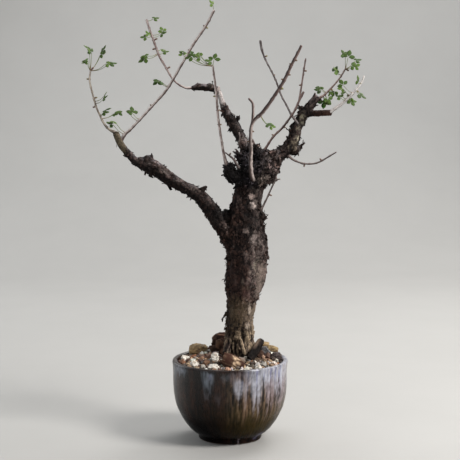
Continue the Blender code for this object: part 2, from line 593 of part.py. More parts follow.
def make_flakes(stems, shoot_points):
    """Bark flakes over the old stems and thickly over the burr, kept away from the shoots."""
    rng = random.Random(4)
    flakes = []

    def place(at, outward, tangent, length, lift):
        if any((at - point).length < 5 + length / 2 for point in shoot_points):
            return
        lean = Matrix.Rotation(rng.uniform(-0.7, 0.7), 3, outward)
        along = lean @ tangent * rng.choice((1, 1, -1))
        size = length * rng.uniform(0.7, 1.25)
        width = size * rng.uniform(0.4, 0.7)
        scrap = flake(at, outward, along, size, width, lift * rng.uniform(0.5, 1.2))
        flakes.append(add_object("flake", scrap))

    for name, (count, length, lift) in FLAKES.items():
        samples = [sample for sample in stems[name] if sample[0].z > 96]
        for number in range(count):
            index = 1 + int((number + rng.random()) / count * (len(samples) - 3))
            at, outward, tangent = outside(samples, index, number * 2.4 + rng.uniform(-0.4, 0.4))
            place(at, outward, tangent, length, lift)
    for number in range(BURR_FLAKES):
        x, z, depth, radius = KNOTS[number % 7]
        turn, rise = number * 2.4, rng.uniform(-0.5, 0.9)
        outward = Vector((math.cos(turn) * math.cos(rise), math.sin(turn) * math.cos(rise), math.sin(rise)))
        tangent = outward.cross(Vector((0.3, 0.2, 1))).normalized()
        place(seen_at(x, z, depth) + outward * radius * 0.96, outward, tangent, 8, 2.6)
    return flakes


def make_stump_round(bm, radius):
    """Draw the buried foot of the trunk to a plain cylinder, to stand in its plain hole."""
    for vertex in bm.verts:
        outward = Vector((vertex.co.x - TRUNK_X, vertex.co.y, 0))
        if vertex.co.z <= STUMP_TOP + 1 and outward.length > 1:
            outward = outward.normalized() * radius
            vertex.co.x, vertex.co.y = TRUNK_X + outward.x, outward.y


def make_stem_parts(swell=0.0):
    """The trunk, the limbs and the knots as separate tubes and lumps, swollen when they are cutters."""
    stems = {"trunk": smooth_route(TRUNK, 10)}
    for name, route in LIMBS.items():
        stems[name] = smooth_route(route, 8)
    parts = []
    for name, samples in stems.items():
        sides = 16 if name == "trunk" else 9 if samples[0][1] > 7 else 6
        rough = 1.0 if name in FLAKES or name == "burr_arm" else 0.5
        blunt = 0.25 if name in ("trunk", "right_stub") else 0.5
        bm = tube(samples, sides, swell, rough, blunt)
        if name == "trunk":
            make_stump_round(bm, STUMP_RADIUS + swell)
        parts.append(add_object(name, bm))
    for seed, (x, z, depth, radius) in enumerate(KNOTS):
        size = (radius * 2, radius * 2, radius * 2)
        bm = rounded_block(size, 0, 2, seed * 5.1 + 20, 2 if radius > 7 else 1, swell)
        bmesh.ops.translate(bm, verts=bm.verts, vec=seen_at(x, z, depth))
        parts.append(add_object("knot", bm))
    return stems, parts


def make_trunk(bark, shoot_points):
    """The swollen trunk with its limbs, burr, roots, spurs and flakes, grown as one piece."""
    stems, parts = make_stem_parts()
    trunk = parts[0]
    trunk.data.materials.append(bark)
    for root, tip, radius in SPURS:
        start, end = seen_at(*root), seen_at(*tip)
        samples = [(start, radius * 1.2), (start.lerp(end, 0.55), radius), (end, radius * 0.55)]
        parts.append(add_object("spur", tube(samples, 5)))
    combine(trunk, parts[1:], "UNION")
    return combine(trunk, make_flakes(stems, shoot_points), "UNION")


def nearest(samples, point):
    """The sample of a stem that lies nearest to a point."""
    return min(samples[1:], key=lambda sample: (sample[0] - point).length)


def make_bud(samples, tip_x, tip_z):
    """A pointed bud from the nearest point of the shoot to its tip."""
    depth = min(samples, key=lambda sample: (sample[0].x - tip_x) ** 2 + (sample[0].z - tip_z) ** 2)[0].y
    tip = seen_at(tip_x, tip_z, depth)
    base, radius = nearest(samples, tip)
    neck = [(base, radius * 0.9), (base.lerp(tip, 0.6), max(0.9, radius * 0.85))]
    return add_object("bud", tube(neck, 4, blunt=1.2))


def leaf_outline():
    """The edge of a leaf's three leaflets round its hub, as reach and angle, with a notch between them."""
    outline = []
    for turn in sorted(LEAFLET_TURNS):
        share = 1.0 if turn == 0 else 0.86
        edge = [(reach, -spread) for reach, spread in LEAFLET_EDGE] + LEAFLET_EDGE[-2::-1]
        for reach, spread in edge:
            angle = math.atan2(spread, reach) + math.radians(turn)
            outline.append((share * math.hypot(reach, spread), angle))
        if turn == max(LEAFLET_TURNS):
            outline.append((LEAF_TONGUE, math.pi))
        else:
            outline.append((LEAFLET_NOTCH, math.radians(turn + LEAFLET_TURNS[1] / 2)))
    return outline


def make_blade(hub, heading, facing, length):
    """A leaf of three scalloped leaflets in one thin blade, each arched along and across its rib."""
    bm = bmesh.new()
    beside = facing.cross(heading).normalized()
    layers = []
    for side in (0.5, -0.5):
        rim = []
        for reach, angle in leaf_outline():
            off_rib = min(abs(angle - math.radians(turn)) for turn in LEAFLET_TURNS)
            lift = (0.10 - 0.26 * reach ** 2 - 0.5 * min(off_rib, 0.6) * reach) * length
            flat = heading * math.cos(angle) + beside * math.sin(angle)
            rim.append(bm.verts.new(hub + flat * reach * length + facing * (lift + side * BLADE_THICKNESS)))
        layers.append((rim, bm.verts.new(hub + facing * side * BLADE_THICKNESS)))
    (upper, upper_hub), (lower, lower_hub) = layers
    for index in range(len(upper)):
        after = (index + 1) % len(upper)
        bm.faces.new((upper[index], upper[after], upper_hub))
        bm.faces.new((lower[after], lower[index], lower_hub))
        bm.faces.new((upper[after], upper[index], lower[index], lower[after]))
    bmesh.ops.triangulate(bm, faces=bm.faces)
    bmesh.ops.recalc_face_normals(bm, faces=bm.faces)
    return add_object("blade", bm)


def make_leaf(samples, values, rng):
    """A stalk from the shoot to the leaf's hub, and the blade of three leaflets round it."""
    x, z, depth, lean, length = values
    hub = seen_at(x, z, depth)
    base, _ = nearest(samples, hub)
    heading = Vector((math.cos(math.radians(lean)), rng.uniform(-0.35, 0.35), math.sin(math.radians(lean))))
    facing = Vector((rng.uniform(-0.5, 0.5), -1, rng.uniform(0.2, 1.1)))
    heading.normalize()
    facing = (facing - heading * facing.dot(heading)).normalized()
    heel = hub - heading * length * LEAF_TONGUE * 0.8
    bow = Vector((0, 0, -0.10)) * (heel - base).length
    stalk = [(base, 0.75), (base.lerp(heel, 0.5) + bow, 0.55), (heel, 0.6)]
    return [add_object("stalk", tube(stalk, 3)), make_blade(hub, heading, facing, length)]


def make_shoot(name, values, bark, cutters, rng):
    """A young shoot with its fork, buds and leaves, cut clear of the limb that it grows from."""
    samples = smooth_route(values["route"], 11)
    shoot = add_object(name, tube(samples, 5, blunt=0.8), bark)
    parts = []
    if "fork" in values:
        fork = smooth_route(values["fork"], 11)
        parts.append(add_object("fork", tube(fork, 5, blunt=0.8)))
        samples = samples + fork
    parts += [make_bud(samples, *bud) for bud in values["buds"]]
    for leaf in values["leaves"]:
        parts += make_leaf(samples, leaf, rng)
    combine(shoot, parts, "UNION")
    return combine(shoot, cutters, "DIFFERENCE")


def main():
    """Build every piece of the plant and its pot."""
    clear_scene()
    make_pot(make_material("dark streaked glaze", (0.07, 0.045, 0.035), 0.25))
    cutters = make_stones() + make_bark_pieces()
    make_soil(make_material("grit and soil", (0.30, 0.20, 0.13), 0.95), cutters)
    shoot_points = [point for shoot in SHOOTS.values() for point, _ in smooth_route(shoot["route"], 6)]
    make_trunk(make_material("old bark", (0.17, 0.13, 0.11), 0.9), shoot_points)
    young = make_material("young bark", (0.23, 0.14, 0.13), 0.6)
    rng = random.Random(21)
    for name, values in SHOOTS.items():
        _, limbs = make_stem_parts(STEM_GAP)
        make_shoot(name, values, young, limbs, rng)


main()
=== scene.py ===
import math
import random

import bpy
import numpy as np
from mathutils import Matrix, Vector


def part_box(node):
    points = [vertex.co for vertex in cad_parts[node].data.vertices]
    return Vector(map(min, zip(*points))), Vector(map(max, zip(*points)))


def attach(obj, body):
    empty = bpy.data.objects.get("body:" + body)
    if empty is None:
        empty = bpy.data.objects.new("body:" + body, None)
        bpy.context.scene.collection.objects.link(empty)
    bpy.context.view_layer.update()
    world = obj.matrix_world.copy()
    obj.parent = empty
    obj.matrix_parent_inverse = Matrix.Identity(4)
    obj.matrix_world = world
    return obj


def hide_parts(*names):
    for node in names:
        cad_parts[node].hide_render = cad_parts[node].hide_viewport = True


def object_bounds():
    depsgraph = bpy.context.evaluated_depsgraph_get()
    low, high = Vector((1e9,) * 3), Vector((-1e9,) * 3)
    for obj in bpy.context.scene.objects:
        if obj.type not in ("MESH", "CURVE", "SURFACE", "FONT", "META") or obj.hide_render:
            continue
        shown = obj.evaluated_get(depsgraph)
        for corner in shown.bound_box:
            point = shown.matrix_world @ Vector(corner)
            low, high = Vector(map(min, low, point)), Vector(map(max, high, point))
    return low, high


# A potted caudex plant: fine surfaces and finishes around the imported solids.
# Lengths are written in millimetres. X is to the right, Y away from the viewer and Z up,
# and the origin lies under the middle of the pot's foot.

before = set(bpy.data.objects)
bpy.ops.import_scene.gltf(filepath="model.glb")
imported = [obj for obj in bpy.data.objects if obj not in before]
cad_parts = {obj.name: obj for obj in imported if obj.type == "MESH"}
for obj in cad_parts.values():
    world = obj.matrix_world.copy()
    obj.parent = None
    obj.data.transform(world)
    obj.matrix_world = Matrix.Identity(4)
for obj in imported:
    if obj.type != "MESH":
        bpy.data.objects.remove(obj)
solidBox = [list(corner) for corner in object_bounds()]
print("frame:", len(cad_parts), "solids")

metre = 0.001           # one millimetre in Blender's metres
eyeDistance = 1240      # the viewer's eye stands this far in front of the trunk
eyeHeight = 342         # and this far above the floor

# linear light from a screen colour of 0 to 255: ((c + 0.055) / 1.055) ^ 2.4
def paint(red, green, blue):
    return ((np.array([red, green, blue]) / 255 + 0.055) / 1.055) ** 2.4

# first + (second - first) * share, for whole arrays of colours
def blend(first, second, share):
    return first + (second - first) * np.asarray(share)[..., None]

# the linear light of each colour of a look
def paints(look):
    return {name: paint(*tone) for name, tone in look["colours"].items()}

# named colours laid over a colour one after another, each by its own share
def laid(colour, light, layers):
    for name, share in layers:
        colour = blend(colour, light[name], share)
    return colour

# 0 below low, 1 above high and 3 t^2 - 2 t^3 between them
def ease(low, high, value):
    t = np.clip((value - low) / (high - low), 0, 1)
    return t * t * (3 - 2 * t)

# rows of vectors drawn to length 1
def unit(vectors):
    return vectors / np.maximum(np.linalg.norm(vectors, axis=-1, keepdims=True), 1e-9)

# coordinates of one size, or spread to one size, as points
def stacked(*parts):
    return np.stack(np.broadcast_arrays(*parts), -1)

# how far each angle lies from a middle one, in degrees, the short way round
def turnsApart(degrees, middle):
    return np.abs((degrees - middle + 180) % 360 - 180)

# one 32-bit number for each whole-number cell: its coordinates times large primes, mixed twice
def cellBits(cells, seed):
    x, y, z = np.moveaxis(cells.astype(np.int64), -1, 0)
    bits = (x * 73856093 ^ y * 19349663 ^ z * 83492791 ^ (seed + 1) * 2654435761) & 0xFFFFFFFF
    bits = ((bits ^ (bits >> 15)) * 739982445) & 0xFFFFFFFF
    bits = ((bits ^ (bits >> 12)) * 695872825) & 0xFFFFFFFF
    return bits ^ (bits >> 15)

# three numbers from 0 to 1 out of each cell's bits
def cellShares(bits):
    return np.stack([((bits >> shift) & 1023) / 1023 for shift in (0, 10, 20)], -1)

# gradient noise, about -1 to 1: each corner of a unit cell has a slope, slope . offset is blended
# along each axis by t^3 (6 t^2 - 15 t + 10)
def noiseAt(points, seed=0):
    base = np.floor(points)
    inside = points - base
    fade = inside ** 3 * (inside * (inside * 6 - 15) + 10)
    total = np.zeros(points.shape[:-1])
    for corner in np.ndindex(2, 2, 2):
        slopes = cellShares(cellBits(base + corner, seed)) * 2 - 1
        weight = np.prod(np.where(corner, fade, 1 - fade), axis=-1)
        total += weight * (slopes * (inside - corner)).sum(-1)
    return total * 1.3

# octaves of noise, each twice as fine and half as strong as the last
def layered(points, octaves=3, seed=0):
    return sum(0.5 ** level * noiseAt(points * 2.0 ** level, seed + level) for level in range(octaves))

# cells: for each point the distances to the nearest and second nearest seed point, the offset from the
# nearest one, and a number from 0 to 1 that its cell keeps
def cellsAt(points, seed=0, spread=0.9):
    base = np.floor(points)
    near = np.full(points.shape[:-1], 9.0)
    second = near.copy()
    offset = np.zeros(points.shape)
    mark = near.copy()
    for step in np.ndindex(3, 3, 3):
        cell = base + step - 1
        bits = cellBits(cell, seed)
        away = points - (cell + 0.5 + (cellShares(bits) - 0.5) * spread)
        gap = np.sqrt((away ** 2).sum(-1))
        closer = gap < near
        second = np.where(closer, near, np.minimum(second, gap))
        offset = np.where(closer[..., None], away, offset)
        mark = np.where(closer, ((bits >> 5) & 8191) / 8191, mark)
        near = np.where(closer, gap, near)
    return near, second, offset, mark

# a point of the front plane carried to its depth along the line of sight:
# reach = 1 + depth / eyeDistance, then (x reach, depth, eyeHeight + (z - eyeHeight) reach)
def seenAt(places):
    x, z, depth = np.asarray(places, float).reshape(-1, 3).T
    reach = 1 + depth / eyeDistance
    return np.column_stack([x * reach, depth, eyeHeight + (z - eyeHeight) * reach])

# a smooth curve through points p0 p1 p2 p3 ..: (2 p1 + (p2 - p0) t + (2 p0 - 5 p1 + 4 p2 - p3) t^2
# + (3 p1 - p0 - 3 p2 + p3) t^3) / 2 on each span, with the first and last spans run on
def curveThrough(points, step):
    points = np.asarray(points, float)
    knots = np.vstack([2 * points[0] - points[1], points, 2 * points[-1] - points[-2]])
    spans = []
    for before, start, end, after in zip(knots, knots[1:], knots[2:], knots[3:]):
        count = max(1, round(float(np.linalg.norm((end - start)[:3])) / step))
        t = (np.arange(count) / count)[:, None]
        spans.append((2 * start + (end - before) * t + (2 * before - 5 * start + 4 * end - after) * t ** 2
                      + (3 * start - before - 3 * end + after) * t ** 3) / 2)
    return np.vstack(spans + [points[-1:]])

# a grown part's route of x, z, depth and radius as curve samples of x, y, z and radius
def routeThrough(route, step):
    route = np.asarray(route, float)
    return curveThrough(np.column_stack([seenAt(route[:, :3]), route[:, 3]]), step)

# the direction of a route at each sample, the depth direction squared to it, and their cross product
def routeFrame(centres):
    tangent = unit(np.gradient(centres, axis=0))
    across = unit(np.array([0, 1, 0]) - tangent * tangent[:, 1:2])
    return tangent, across, np.cross(tangent, across)

# how far along a route each of its samples lies: the sum of the steps before it
def arcLength(route):
    return np.concatenate([[0], np.cumsum(np.linalg.norm(np.diff(route[:, :3], axis=0), axis=1))])

# the angles of a ring's corners, a full turn shared out evenly
def anglesRound(sides):
    return np.arange(sides) / sides * 2 * math.pi

# four-cornered faces of a grid of rows and columns; "round" joins the last column to the first
def gridFaces(rows, columns, round=False):
    row, column = np.meshgrid(np.arange(rows - 1), np.arange(columns - (not round)), indexing="ij")
    after = (column + 1) % columns
    below, above = row * columns, (row + 1) * columns
    return np.stack([below + column, below + after, above + after, above + column], -1).reshape(-1, 4)

# three-cornered faces that close a round grid's first and last rows over two poles, which follow its points
def poleFaces(rows, sides):
    side = np.arange(sides)
    after, last, pole = (side + 1) % sides, (rows - 1) * sides, np.full(sides, rows * sides)
    return np.vstack([np.column_stack([after, side, pole]),
                      np.column_stack([last + side, last + after, pole + 1])])

# the numbers of the points round a grid's border: its first row, last column, last row and first column
def gridBorder(rows, columns):
    line, lift = np.arange(columns), np.arange(rows) * columns
    return np.concatenate([line, lift[1:] + columns - 1, lift[-1] + line[::-1][1:], lift[::-1][1:-1]])

# faces of a closed thin sheet of rows and columns: an upper grid, a lower grid turned over, and the rim
def sheetFaces(rows, columns):
    upper, count, border = gridFaces(rows, columns), rows * columns, gridBorder(rows, columns)
    after = np.roll(border, -1)
    rim = np.stack([border, border + count, after + count, after], -1)
    return np.vstack([upper, upper[:, ::-1] + count, rim])

# a shape is its points, faces, the colour of each point, its place in the pattern and its finish
def shapeOf(points, quads=(), tris=(), tint=(1, 1, 1), flow=None, finish=0):
    count = len(points)
    quads = np.asarray(quads, int).reshape(-1, 4)
    tris = np.asarray(tris, int).reshape(-1, 3)
    return {"points": points, "quads": quads, "tris": tris,
            "tint": np.broadcast_to(tint, (count, 3)),
            "flow": points if flow is None else flow,
            "quadFinish": np.broadcast_to(finish, len(quads)),
            "triFinish": np.broadcast_to(finish, len(tris))}

# several shapes as one, with their face numbers moved on
def joined(shapes):
    starts = np.cumsum([0] + [len(shape["points"]) for shape in shapes[:-1]])
    whole = {key: np.concatenate([shape[key] for shape in shapes])
             for key in ("points", "tint", "flow", "quadFinish", "triFinish")}
    for key in ("quads", "tris"):
        whole[key] = np.concatenate([shape[key] + start for shape, start in zip(shapes, starts)])
    return whole

# a mesh of a shape in metres, with the colours and pattern places as attributes
def meshOf(name, shape):
    mesh = bpy.data.meshes.new(name)
    mesh.from_pydata((shape["points"] * metre).tolist(), [], shape["quads"].tolist() + shape["tris"].tolist())
    tint = np.column_stack([np.clip(shape["tint"], 0, 1), np.ones(len(shape["tint"]))])
    mesh.attributes.new("tint", "FLOAT_COLOR", "POINT").data.foreach_set("color", tint.ravel())
    mesh.attributes.new("flow", "FLOAT_VECTOR", "POINT").data.foreach_set("vector", shape["flow"].ravel())
    mesh.polygons.foreach_set("material_index", np.concatenate([shape["quadFinish"], shape["triFinish"]]))
    return mesh

# an object of a mesh, a lamp or a camera, put into the scene
def placed(name, data):
    item = bpy.data.objects.new(name, data)
    bpy.context.scene.collection.objects.link(item)
    return item

# an object's mesh with its modifiers applied
def appliedMesh(item):
    graph = bpy.context.evaluated_depsgraph_get()
    return bpy.data.meshes.new_from_object(item.evaluated_get(graph))

# the name of the piece that takes a solid's place
def fineName(name):
    return name.replace("_", "") + "Fine"

# a finished piece of the plant: smooth but for edges sharper than crease degrees
def putPiece(name, shape, finishes, replaced, crease=60):
    mesh = meshOf(name, shape)
    for finish in finishes:
        mesh.materials.append(finish)
    mesh.shade_smooth()
    mesh.set_sharp_from_angle(angle=math.radians(crease))
    piece = placed(name, mesh)
    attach(piece, "root")
    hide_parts(*replaced)
    return piece

# a round body along a route: centre + radius (cos a across + sin a beside). Each end closes over a cap
# of "blunt" radii, where the radius falls as sqrt(1 - s^2) to a pole
def sweep(route, sides, blunt=0.6, relief=None, capRings=4):
    share = np.arange(1, capRings) / capRings
    caps, poles = [], []
    for end, inner in ((route[0], route[1]), (route[-1], route[-2])):
        outward = unit(end[:3] - inner[:3]) * end[3] * blunt
        caps.append(np.column_stack([end[:3] + share[:, None] * outward, end[3] * np.sqrt(1 - share ** 2)]))
        poles.append(end[:3] + outward)
    across, beside = routeFrame(route[:, :3])[1:]
    rows = np.vstack([caps[0][::-1], route, caps[1]])
    pick = np.clip(np.arange(len(rows)) - len(share), 0, len(route) - 1)
    along, angle = arcLength(rows)[:, None], anglesRound(sides)
    reach = rows[:, 3:4] * np.ones(sides)
    if relief:
        reach = reach + relief(angle[None], along, rows[:, 3:4])
    outward = np.cos(angle)[None, :, None] * across[pick][:, None]
    outward = outward + np.sin(angle)[None, :, None] * beside[pick][:, None]
    rings = rows[:, None, :3] + outward * reach[..., None]
    flow = stacked(np.cos(angle) * reach, np.sin(angle) * reach, along).reshape(-1, 3)
    return shapeOf(np.vstack([rings.reshape(-1, 3), poles]), gridFaces(len(rows), sides, True),
                   poleFaces(len(rows), sides), flow=np.vstack([flow, [0, 0, 0], [0, 0, along[-1, 0]]]))

# a ball from six squares: u, v on each face of a cube, bent by tan(u pi / 4), drawn to length 1, with
# the shared edges merged
def ballGrid(cells):
    edge = np.tan(np.linspace(-1, 1, cells + 1) * math.pi / 4)
    u, v = np.meshgrid(edge, edge, indexing="ij")
    faces = []
    for axis in range(3):
        for sign in (1, -1):
            faces.append(np.roll(stacked(sign, u, v * sign), axis, axis=-1))
    corners = unit(np.array(faces).reshape(-1, 3))
    _, keep, same = np.unique(np.round(corners, 6), axis=0, return_index=True, return_inverse=True)
    side = gridFaces(cells + 1, cells + 1)[:, ::-1]
    quads = np.vstack([side + index * (cells + 1) ** 2 for index in range(6)])
    return corners[keep], same.reshape(-1)[quads]

# turns about X, then Y, then Z, in degrees
def turnBy(degrees):
    turn = np.eye(3)
    for axis, angle in enumerate(np.radians(degrees)):
        u, v = (axis + 1) % 3, (axis + 2) % 3
        step = np.eye(3)
        step[u, u] = step[v, v] = math.cos(angle)
        step[v, u], step[u, v] = math.sin(angle), -math.sin(angle)
        turn = step @ turn
    return turn

# a new node of a material with its settings and inputs, which are numbers or other nodes' outputs
def addNode(tree, kind, inputs=None, **settings):
    node = tree.nodes.new(kind)
    for key, value in settings.items():
        setattr(node, key, value)
    for key, value in (inputs or {}).items():
        if isinstance(value, bpy.types.NodeSocket):
            tree.links.new(value, node.inputs[key])
        else:
            node.inputs[key].default_value = value
    return node

# two colours mixed by a factor, as MIX, MULTIPLY, OVERLAY and so on
def mixNode(tree, factor, first, second, kind="MIX"):
    node = addNode(tree, "ShaderNodeMix", data_type="RGBA", blend_type=kind)
    for socket, value in zip((node.inputs[0], node.inputs[6], node.inputs[7]), (factor, first, second)):
        if isinstance(value, bpy.types.NodeSocket):
            tree.links.new(value, socket)
        elif socket == node.inputs[0]:
            socket.default_value = value
        else:
            socket.default_value = (*value, 1)
    return node.outputs[2]

# a value carried from one range to another
def rangeNode(tree, value, low, high, start, end):
    inputs = {"Value": value, "From Min": low, "From Max": high, "To Min": start, "To Max": end}
    return addNode(tree, "ShaderNodeMapRange", inputs).outputs[0]

# one step of arithmetic on numbers or other nodes' outputs
def mathNode(tree, kind, *values):
    return addNode(tree, "ShaderNodeMath", dict(enumerate(values)), operation=kind).outputs[0]

# noise that reads Object coordinates in metres or the pattern place in millimetres
def noiseNode(tree, place, size, detail=4.0, roughness=0.6):
    inputs = {"Vector": place, "Scale": 1 / size, "Detail": detail, "Roughness": roughness}
    return addNode(tree, "ShaderNodeTexNoise", inputs).outputs["Fac"]

# an attribute that the piece's own points carry
def ownValue(tree, name, output):
    return addNode(tree, "ShaderNodeAttribute", attribute_name=name).outputs[output]

# a new material with its node tree and shader
def newFinish(name):
    material = bpy.data.materials.new(name)
    material.use_nodes = True
    return material, material.node_tree, material.node_tree.nodes["Principled BSDF"]

# a finish whose colour is the piece's tint, broken up by fine noise along its pattern, with a rough relief
def makeFinish(name, look):
    material, tree, shader = newFinish(name)
    tint, flow = ownValue(tree, "tint", "Color"), ownValue(tree, "flow", "Vector")
    place = addNode(tree, "ShaderNodeMapping", {"Vector": flow, "Scale": look.get("stretch", (1, 1, 1))})
    speck = noiseNode(tree, place.outputs[0], look["speckSize"])
    grain = noiseNode(tree, place.outputs[0], look["grainSize"], 6.0)
    share = rangeNode(tree, speck, 0.38, 0.66, 0, look["speckShare"])
    colour = mixNode(tree, share, tint, look["speck"], look.get("speckKind", "MIX"))
    shade = rangeNode(tree, grain, 0.3, 0.7, 1 - look["grainShare"], 1 + look["grainShare"])
    tree.links.new(mixNode(tree, 1.0, colour, shade, "MULTIPLY"), shader.inputs["Base Color"])
    tree.links.new(rangeNode(tree, grain, 0.3, 0.7, *look["rough"]), shader.inputs["Roughness"])
    relief = {"Strength": look["bump"], "Distance": look["bumpDepth"] * metre, "Height": grain}
    tree.links.new(addNode(tree, "ShaderNodeBump", relief).outputs[0], shader.inputs["Normal"])
    for key, value in look.get("shader", {}).items():
        shader.inputs[key].default_value = value
    return material

# The camera and light

view = {"lens": 97.04, "sensor": 36, "tilt": 5.97, "world": (0.62, 0.63, 0.64), "worldStrength": 0.40}
lights = [  # name, place and aim in metres, size, power, colour
    ("keyLight", (1.05, -0.60, 1.20), (0, 0, 0.24), 0.50, 34, (1.0, 0.97, 0.94)),
    ("fillLight", (-1.3, -1.2, 0.7), (0, 0, 0.22), 1.5, 5, (0.90, 0.95, 1.0)),
    ("sideLight", (-1.3, 0.8, 0.7), (0, 0, 0.22), 1.2, 10, (0.94, 0.97, 1.0)),
    ("rimLight", (0.7, 0.9, 1.1), (0, 0, 0.30), 0.7, 11, (1.0, 0.98, 0.96)),
    ("backLight", (0.2, 0.9, 2.2), (0, 2.0, 0.5), 1.6, 30, (0.97, 0.98, 1.0)),
]
floorLook = {
    "front": -1.6, "back": 1.1, "bend": 0.9, "top": 3.2, "width": 6, "steps": 33,
    "colours": {"tone": (163, 162, 159)}, "cloud": 0.12, "cloudShade": 0.97, "rough": 0.6,
}

# the eye in front of the pot, tilted down a little, and square lamps that are turned to their aims
def makeView():
    camera = placed("camera", bpy.data.cameras.new("camera"))
    camera.data.lens = view["lens"]
    camera.data.sensor_width = view["sensor"]
    camera.location = (0, -eyeDistance * metre, eyeHeight * metre)
    camera.rotation_euler = (math.radians(90 - view["tilt"]), 0, 0)
    bpy.context.scene.camera = camera
    for name, place, aim, size, power, colour in lights:
        lamp = placed(name, bpy.data.lights.new(name, "AREA"))
        lamp.data.size = size
        lamp.data.energy = power
        lamp.data.color = colour
        lamp.location = place
        x, y, z = np.subtract(aim, place)
        lamp.rotation_euler = (math.atan2(math.hypot(x, y), -z), 0, math.atan2(-x, y))
    world = bpy.data.worlds.new("studio")
    bpy.context.scene.world = world
    world.use_nodes = True
    sky = world.node_tree.nodes["Background"].inputs
    sky["Color"].default_value = (*view["world"], 1)
    sky["Strength"].default_value = view["worldStrength"]
    bpy.context.scene.view_settings.view_transform = "Standard"

# a pale sheet in metres that is level under the pot and bends up behind it in a quarter round
def makeFloor():
    turn = np.linspace(0, math.pi / 2, floorLook["steps"])[:, None]
    bend, back = floorLook["bend"], floorLook["back"]
    curve = np.hstack([back + bend * np.sin(turn), bend * (1 - np.cos(turn))])
    profile = np.vstack([[floorLook["front"], 0], curve, [back + bend, floorLook["top"]]])
    width = np.array([-1, 1]) * floorLook["width"] / 2
    mesh = bpy.data.meshes.new("floor")
    mesh.from_pydata([(x, y, z) for y, z in profile for x in width], [], gridFaces(len(profile), 2).tolist())
    mesh.shade_smooth()
    material, tree, shader = newFinish("paleFloor")
    place = addNode(tree, "ShaderNodeTexCoord").outputs["Object"]
    cloud = rangeNode(tree, noiseNode(tree, place, floorLook["cloud"]), 0.35, 0.65, 0, 1)
    tone = paints(floorLook)["tone"]
    tree.links.new(mixNode(tree, cloud, tone * floorLook["cloudShade"], tone), shader.inputs["Base Color"])
    shader.inputs["Roughness"].default_value = floorLook["rough"]
    mesh.materials.append(material)
    placed("floor", mesh)
    print("floor and light:", len(lights), "lamps")

# The pot

potLook = {
    "columns": 360,
    "fit": 0.9905,          # the round pot is drawn this much inside its many-sided solid
    "widest": 58.62,        # and nowhere past this radius
    "girth": 58,            # the radius that the glaze's pattern is laid out on
    "glazeFrom": 30.5,      # the foot is bare inside this radius,
    "bareBelow": 0.9,       # below this height,
    "bareInside": 70,       # and the inner wall below this one
    # each part of the profile: the step between its rows, then its points as radius and height
    "profile": {
        "under": (2.5, [(0, 0.9), (22, 0.9), (25, 0.8), (26.4, 0.15), (27.5, 0), (31, 0)]),
        "foot": (0.7, [(31, 0), (31.9, 0.3), (32.4, 1.2), (32.4, 3.4), (32.9, 4.7), (34.3, 5.9),
                       (36.4, 6.9)]),
        "belly": (0.8, [(36.4, 6.9), (41.4, 11.3), (46.2, 17.4), (49.5, 22.6), (52, 27.5), (54.5, 33),
                        (56.2, 39), (57.3, 45), (58, 51), (58.3, 60), (58.3, 68), (58.6, 75), (59, 78.2)]),
        "lip": (0.6, [(59, 78.2), (58.9, 79.6), (58.2, 80.7), (56.8, 81), (55.2, 80.7), (54.4, 79.7),
                      (54, 77.5), (53.8, 73)]),
        "inside": (2.2, [(53.8, 73), (53.6, 60), (53, 48), (51.2, 39), (48.4, 31.5), (45, 24), (41, 18),
                         (34, 11), (26, 9.2)]),
        "floor": (3, [(26, 9.2), (16, 9), (8, 9), (0, 9)]),
    },
    "drainHoles": 3, "drainRadius": 4, "drainRing": 17,
    "colours": {
        "dark": (15, 10, 9), "warm": (50, 31, 23), "night": (5, 4, 5), "olive": (66, 55, 25),
        "frost": (168, 170, 181), "smoke": (100, 107, 116), "lilac": (152, 142, 150), "line": (70, 74, 138),
        "rust": (112, 70, 44), "tan": (150, 122, 94), "lipBrown": (42, 33, 30), "clay": (92, 72, 60),
    },
}
# pale runs of the glaze: the turn from the front in degrees, half width, top, length, strength, colour
glazeRuns = [
    (-56, 10, 79.5, 16, 0.85, "smoke"), (-62, 9, 79.5, 15, 0.8, "smoke"), (-58, 7, 79, 12, 0.3, "frost"),
    (-22, 6.8, 79, 38, 1.0, "smoke"), (-20, 3.5, 78, 22, 0.30, "frost"), (-5, 5, 77, 12, 0.35, "smoke"),
    (-12, 4, 60, 22, 0.25, "smoke"), (3, 4.5, 78, 16, 0.30, "lilac"), (8.5, 6.0, 73, 36, 0.66, "frost"),
    (11, 5, 79, 16, 0.25, "lilac"), (15, 3.5, 70, 26, 0.45, "frost"), (17, 3.6, 78, 34, 0.38, "lilac"),
    (27, 7.6, 80, 56, 0.88, "frost"), (20, 4, 80, 14, 0.5, "frost"), (39, 9, 80, 26, 1.0, "frost"),
    (44, 9, 76, 52, 0.7, "lilac"), (56, 12, 80, 40, 1.0, "frost"), (63, 15, 78, 62, 0.8, "lilac"),
    (84, 12, 80, 44, 0.9, "frost"),
]

# more runs round the back, where their widths and lengths are drawn at random
def backRuns(rng):
    names = ("frost", "smoke", "lilac", "frost")
    turns = np.arange(98, 286, 12.5)
    return [(turn + rng.uniform(-4, 4), rng.uniform(2.5, 8), rng.uniform(74, 80), rng.uniform(14, 44),
             rng.uniform(0.4, 0.95), names[int(rng.integers(4))]) for turn in turns]

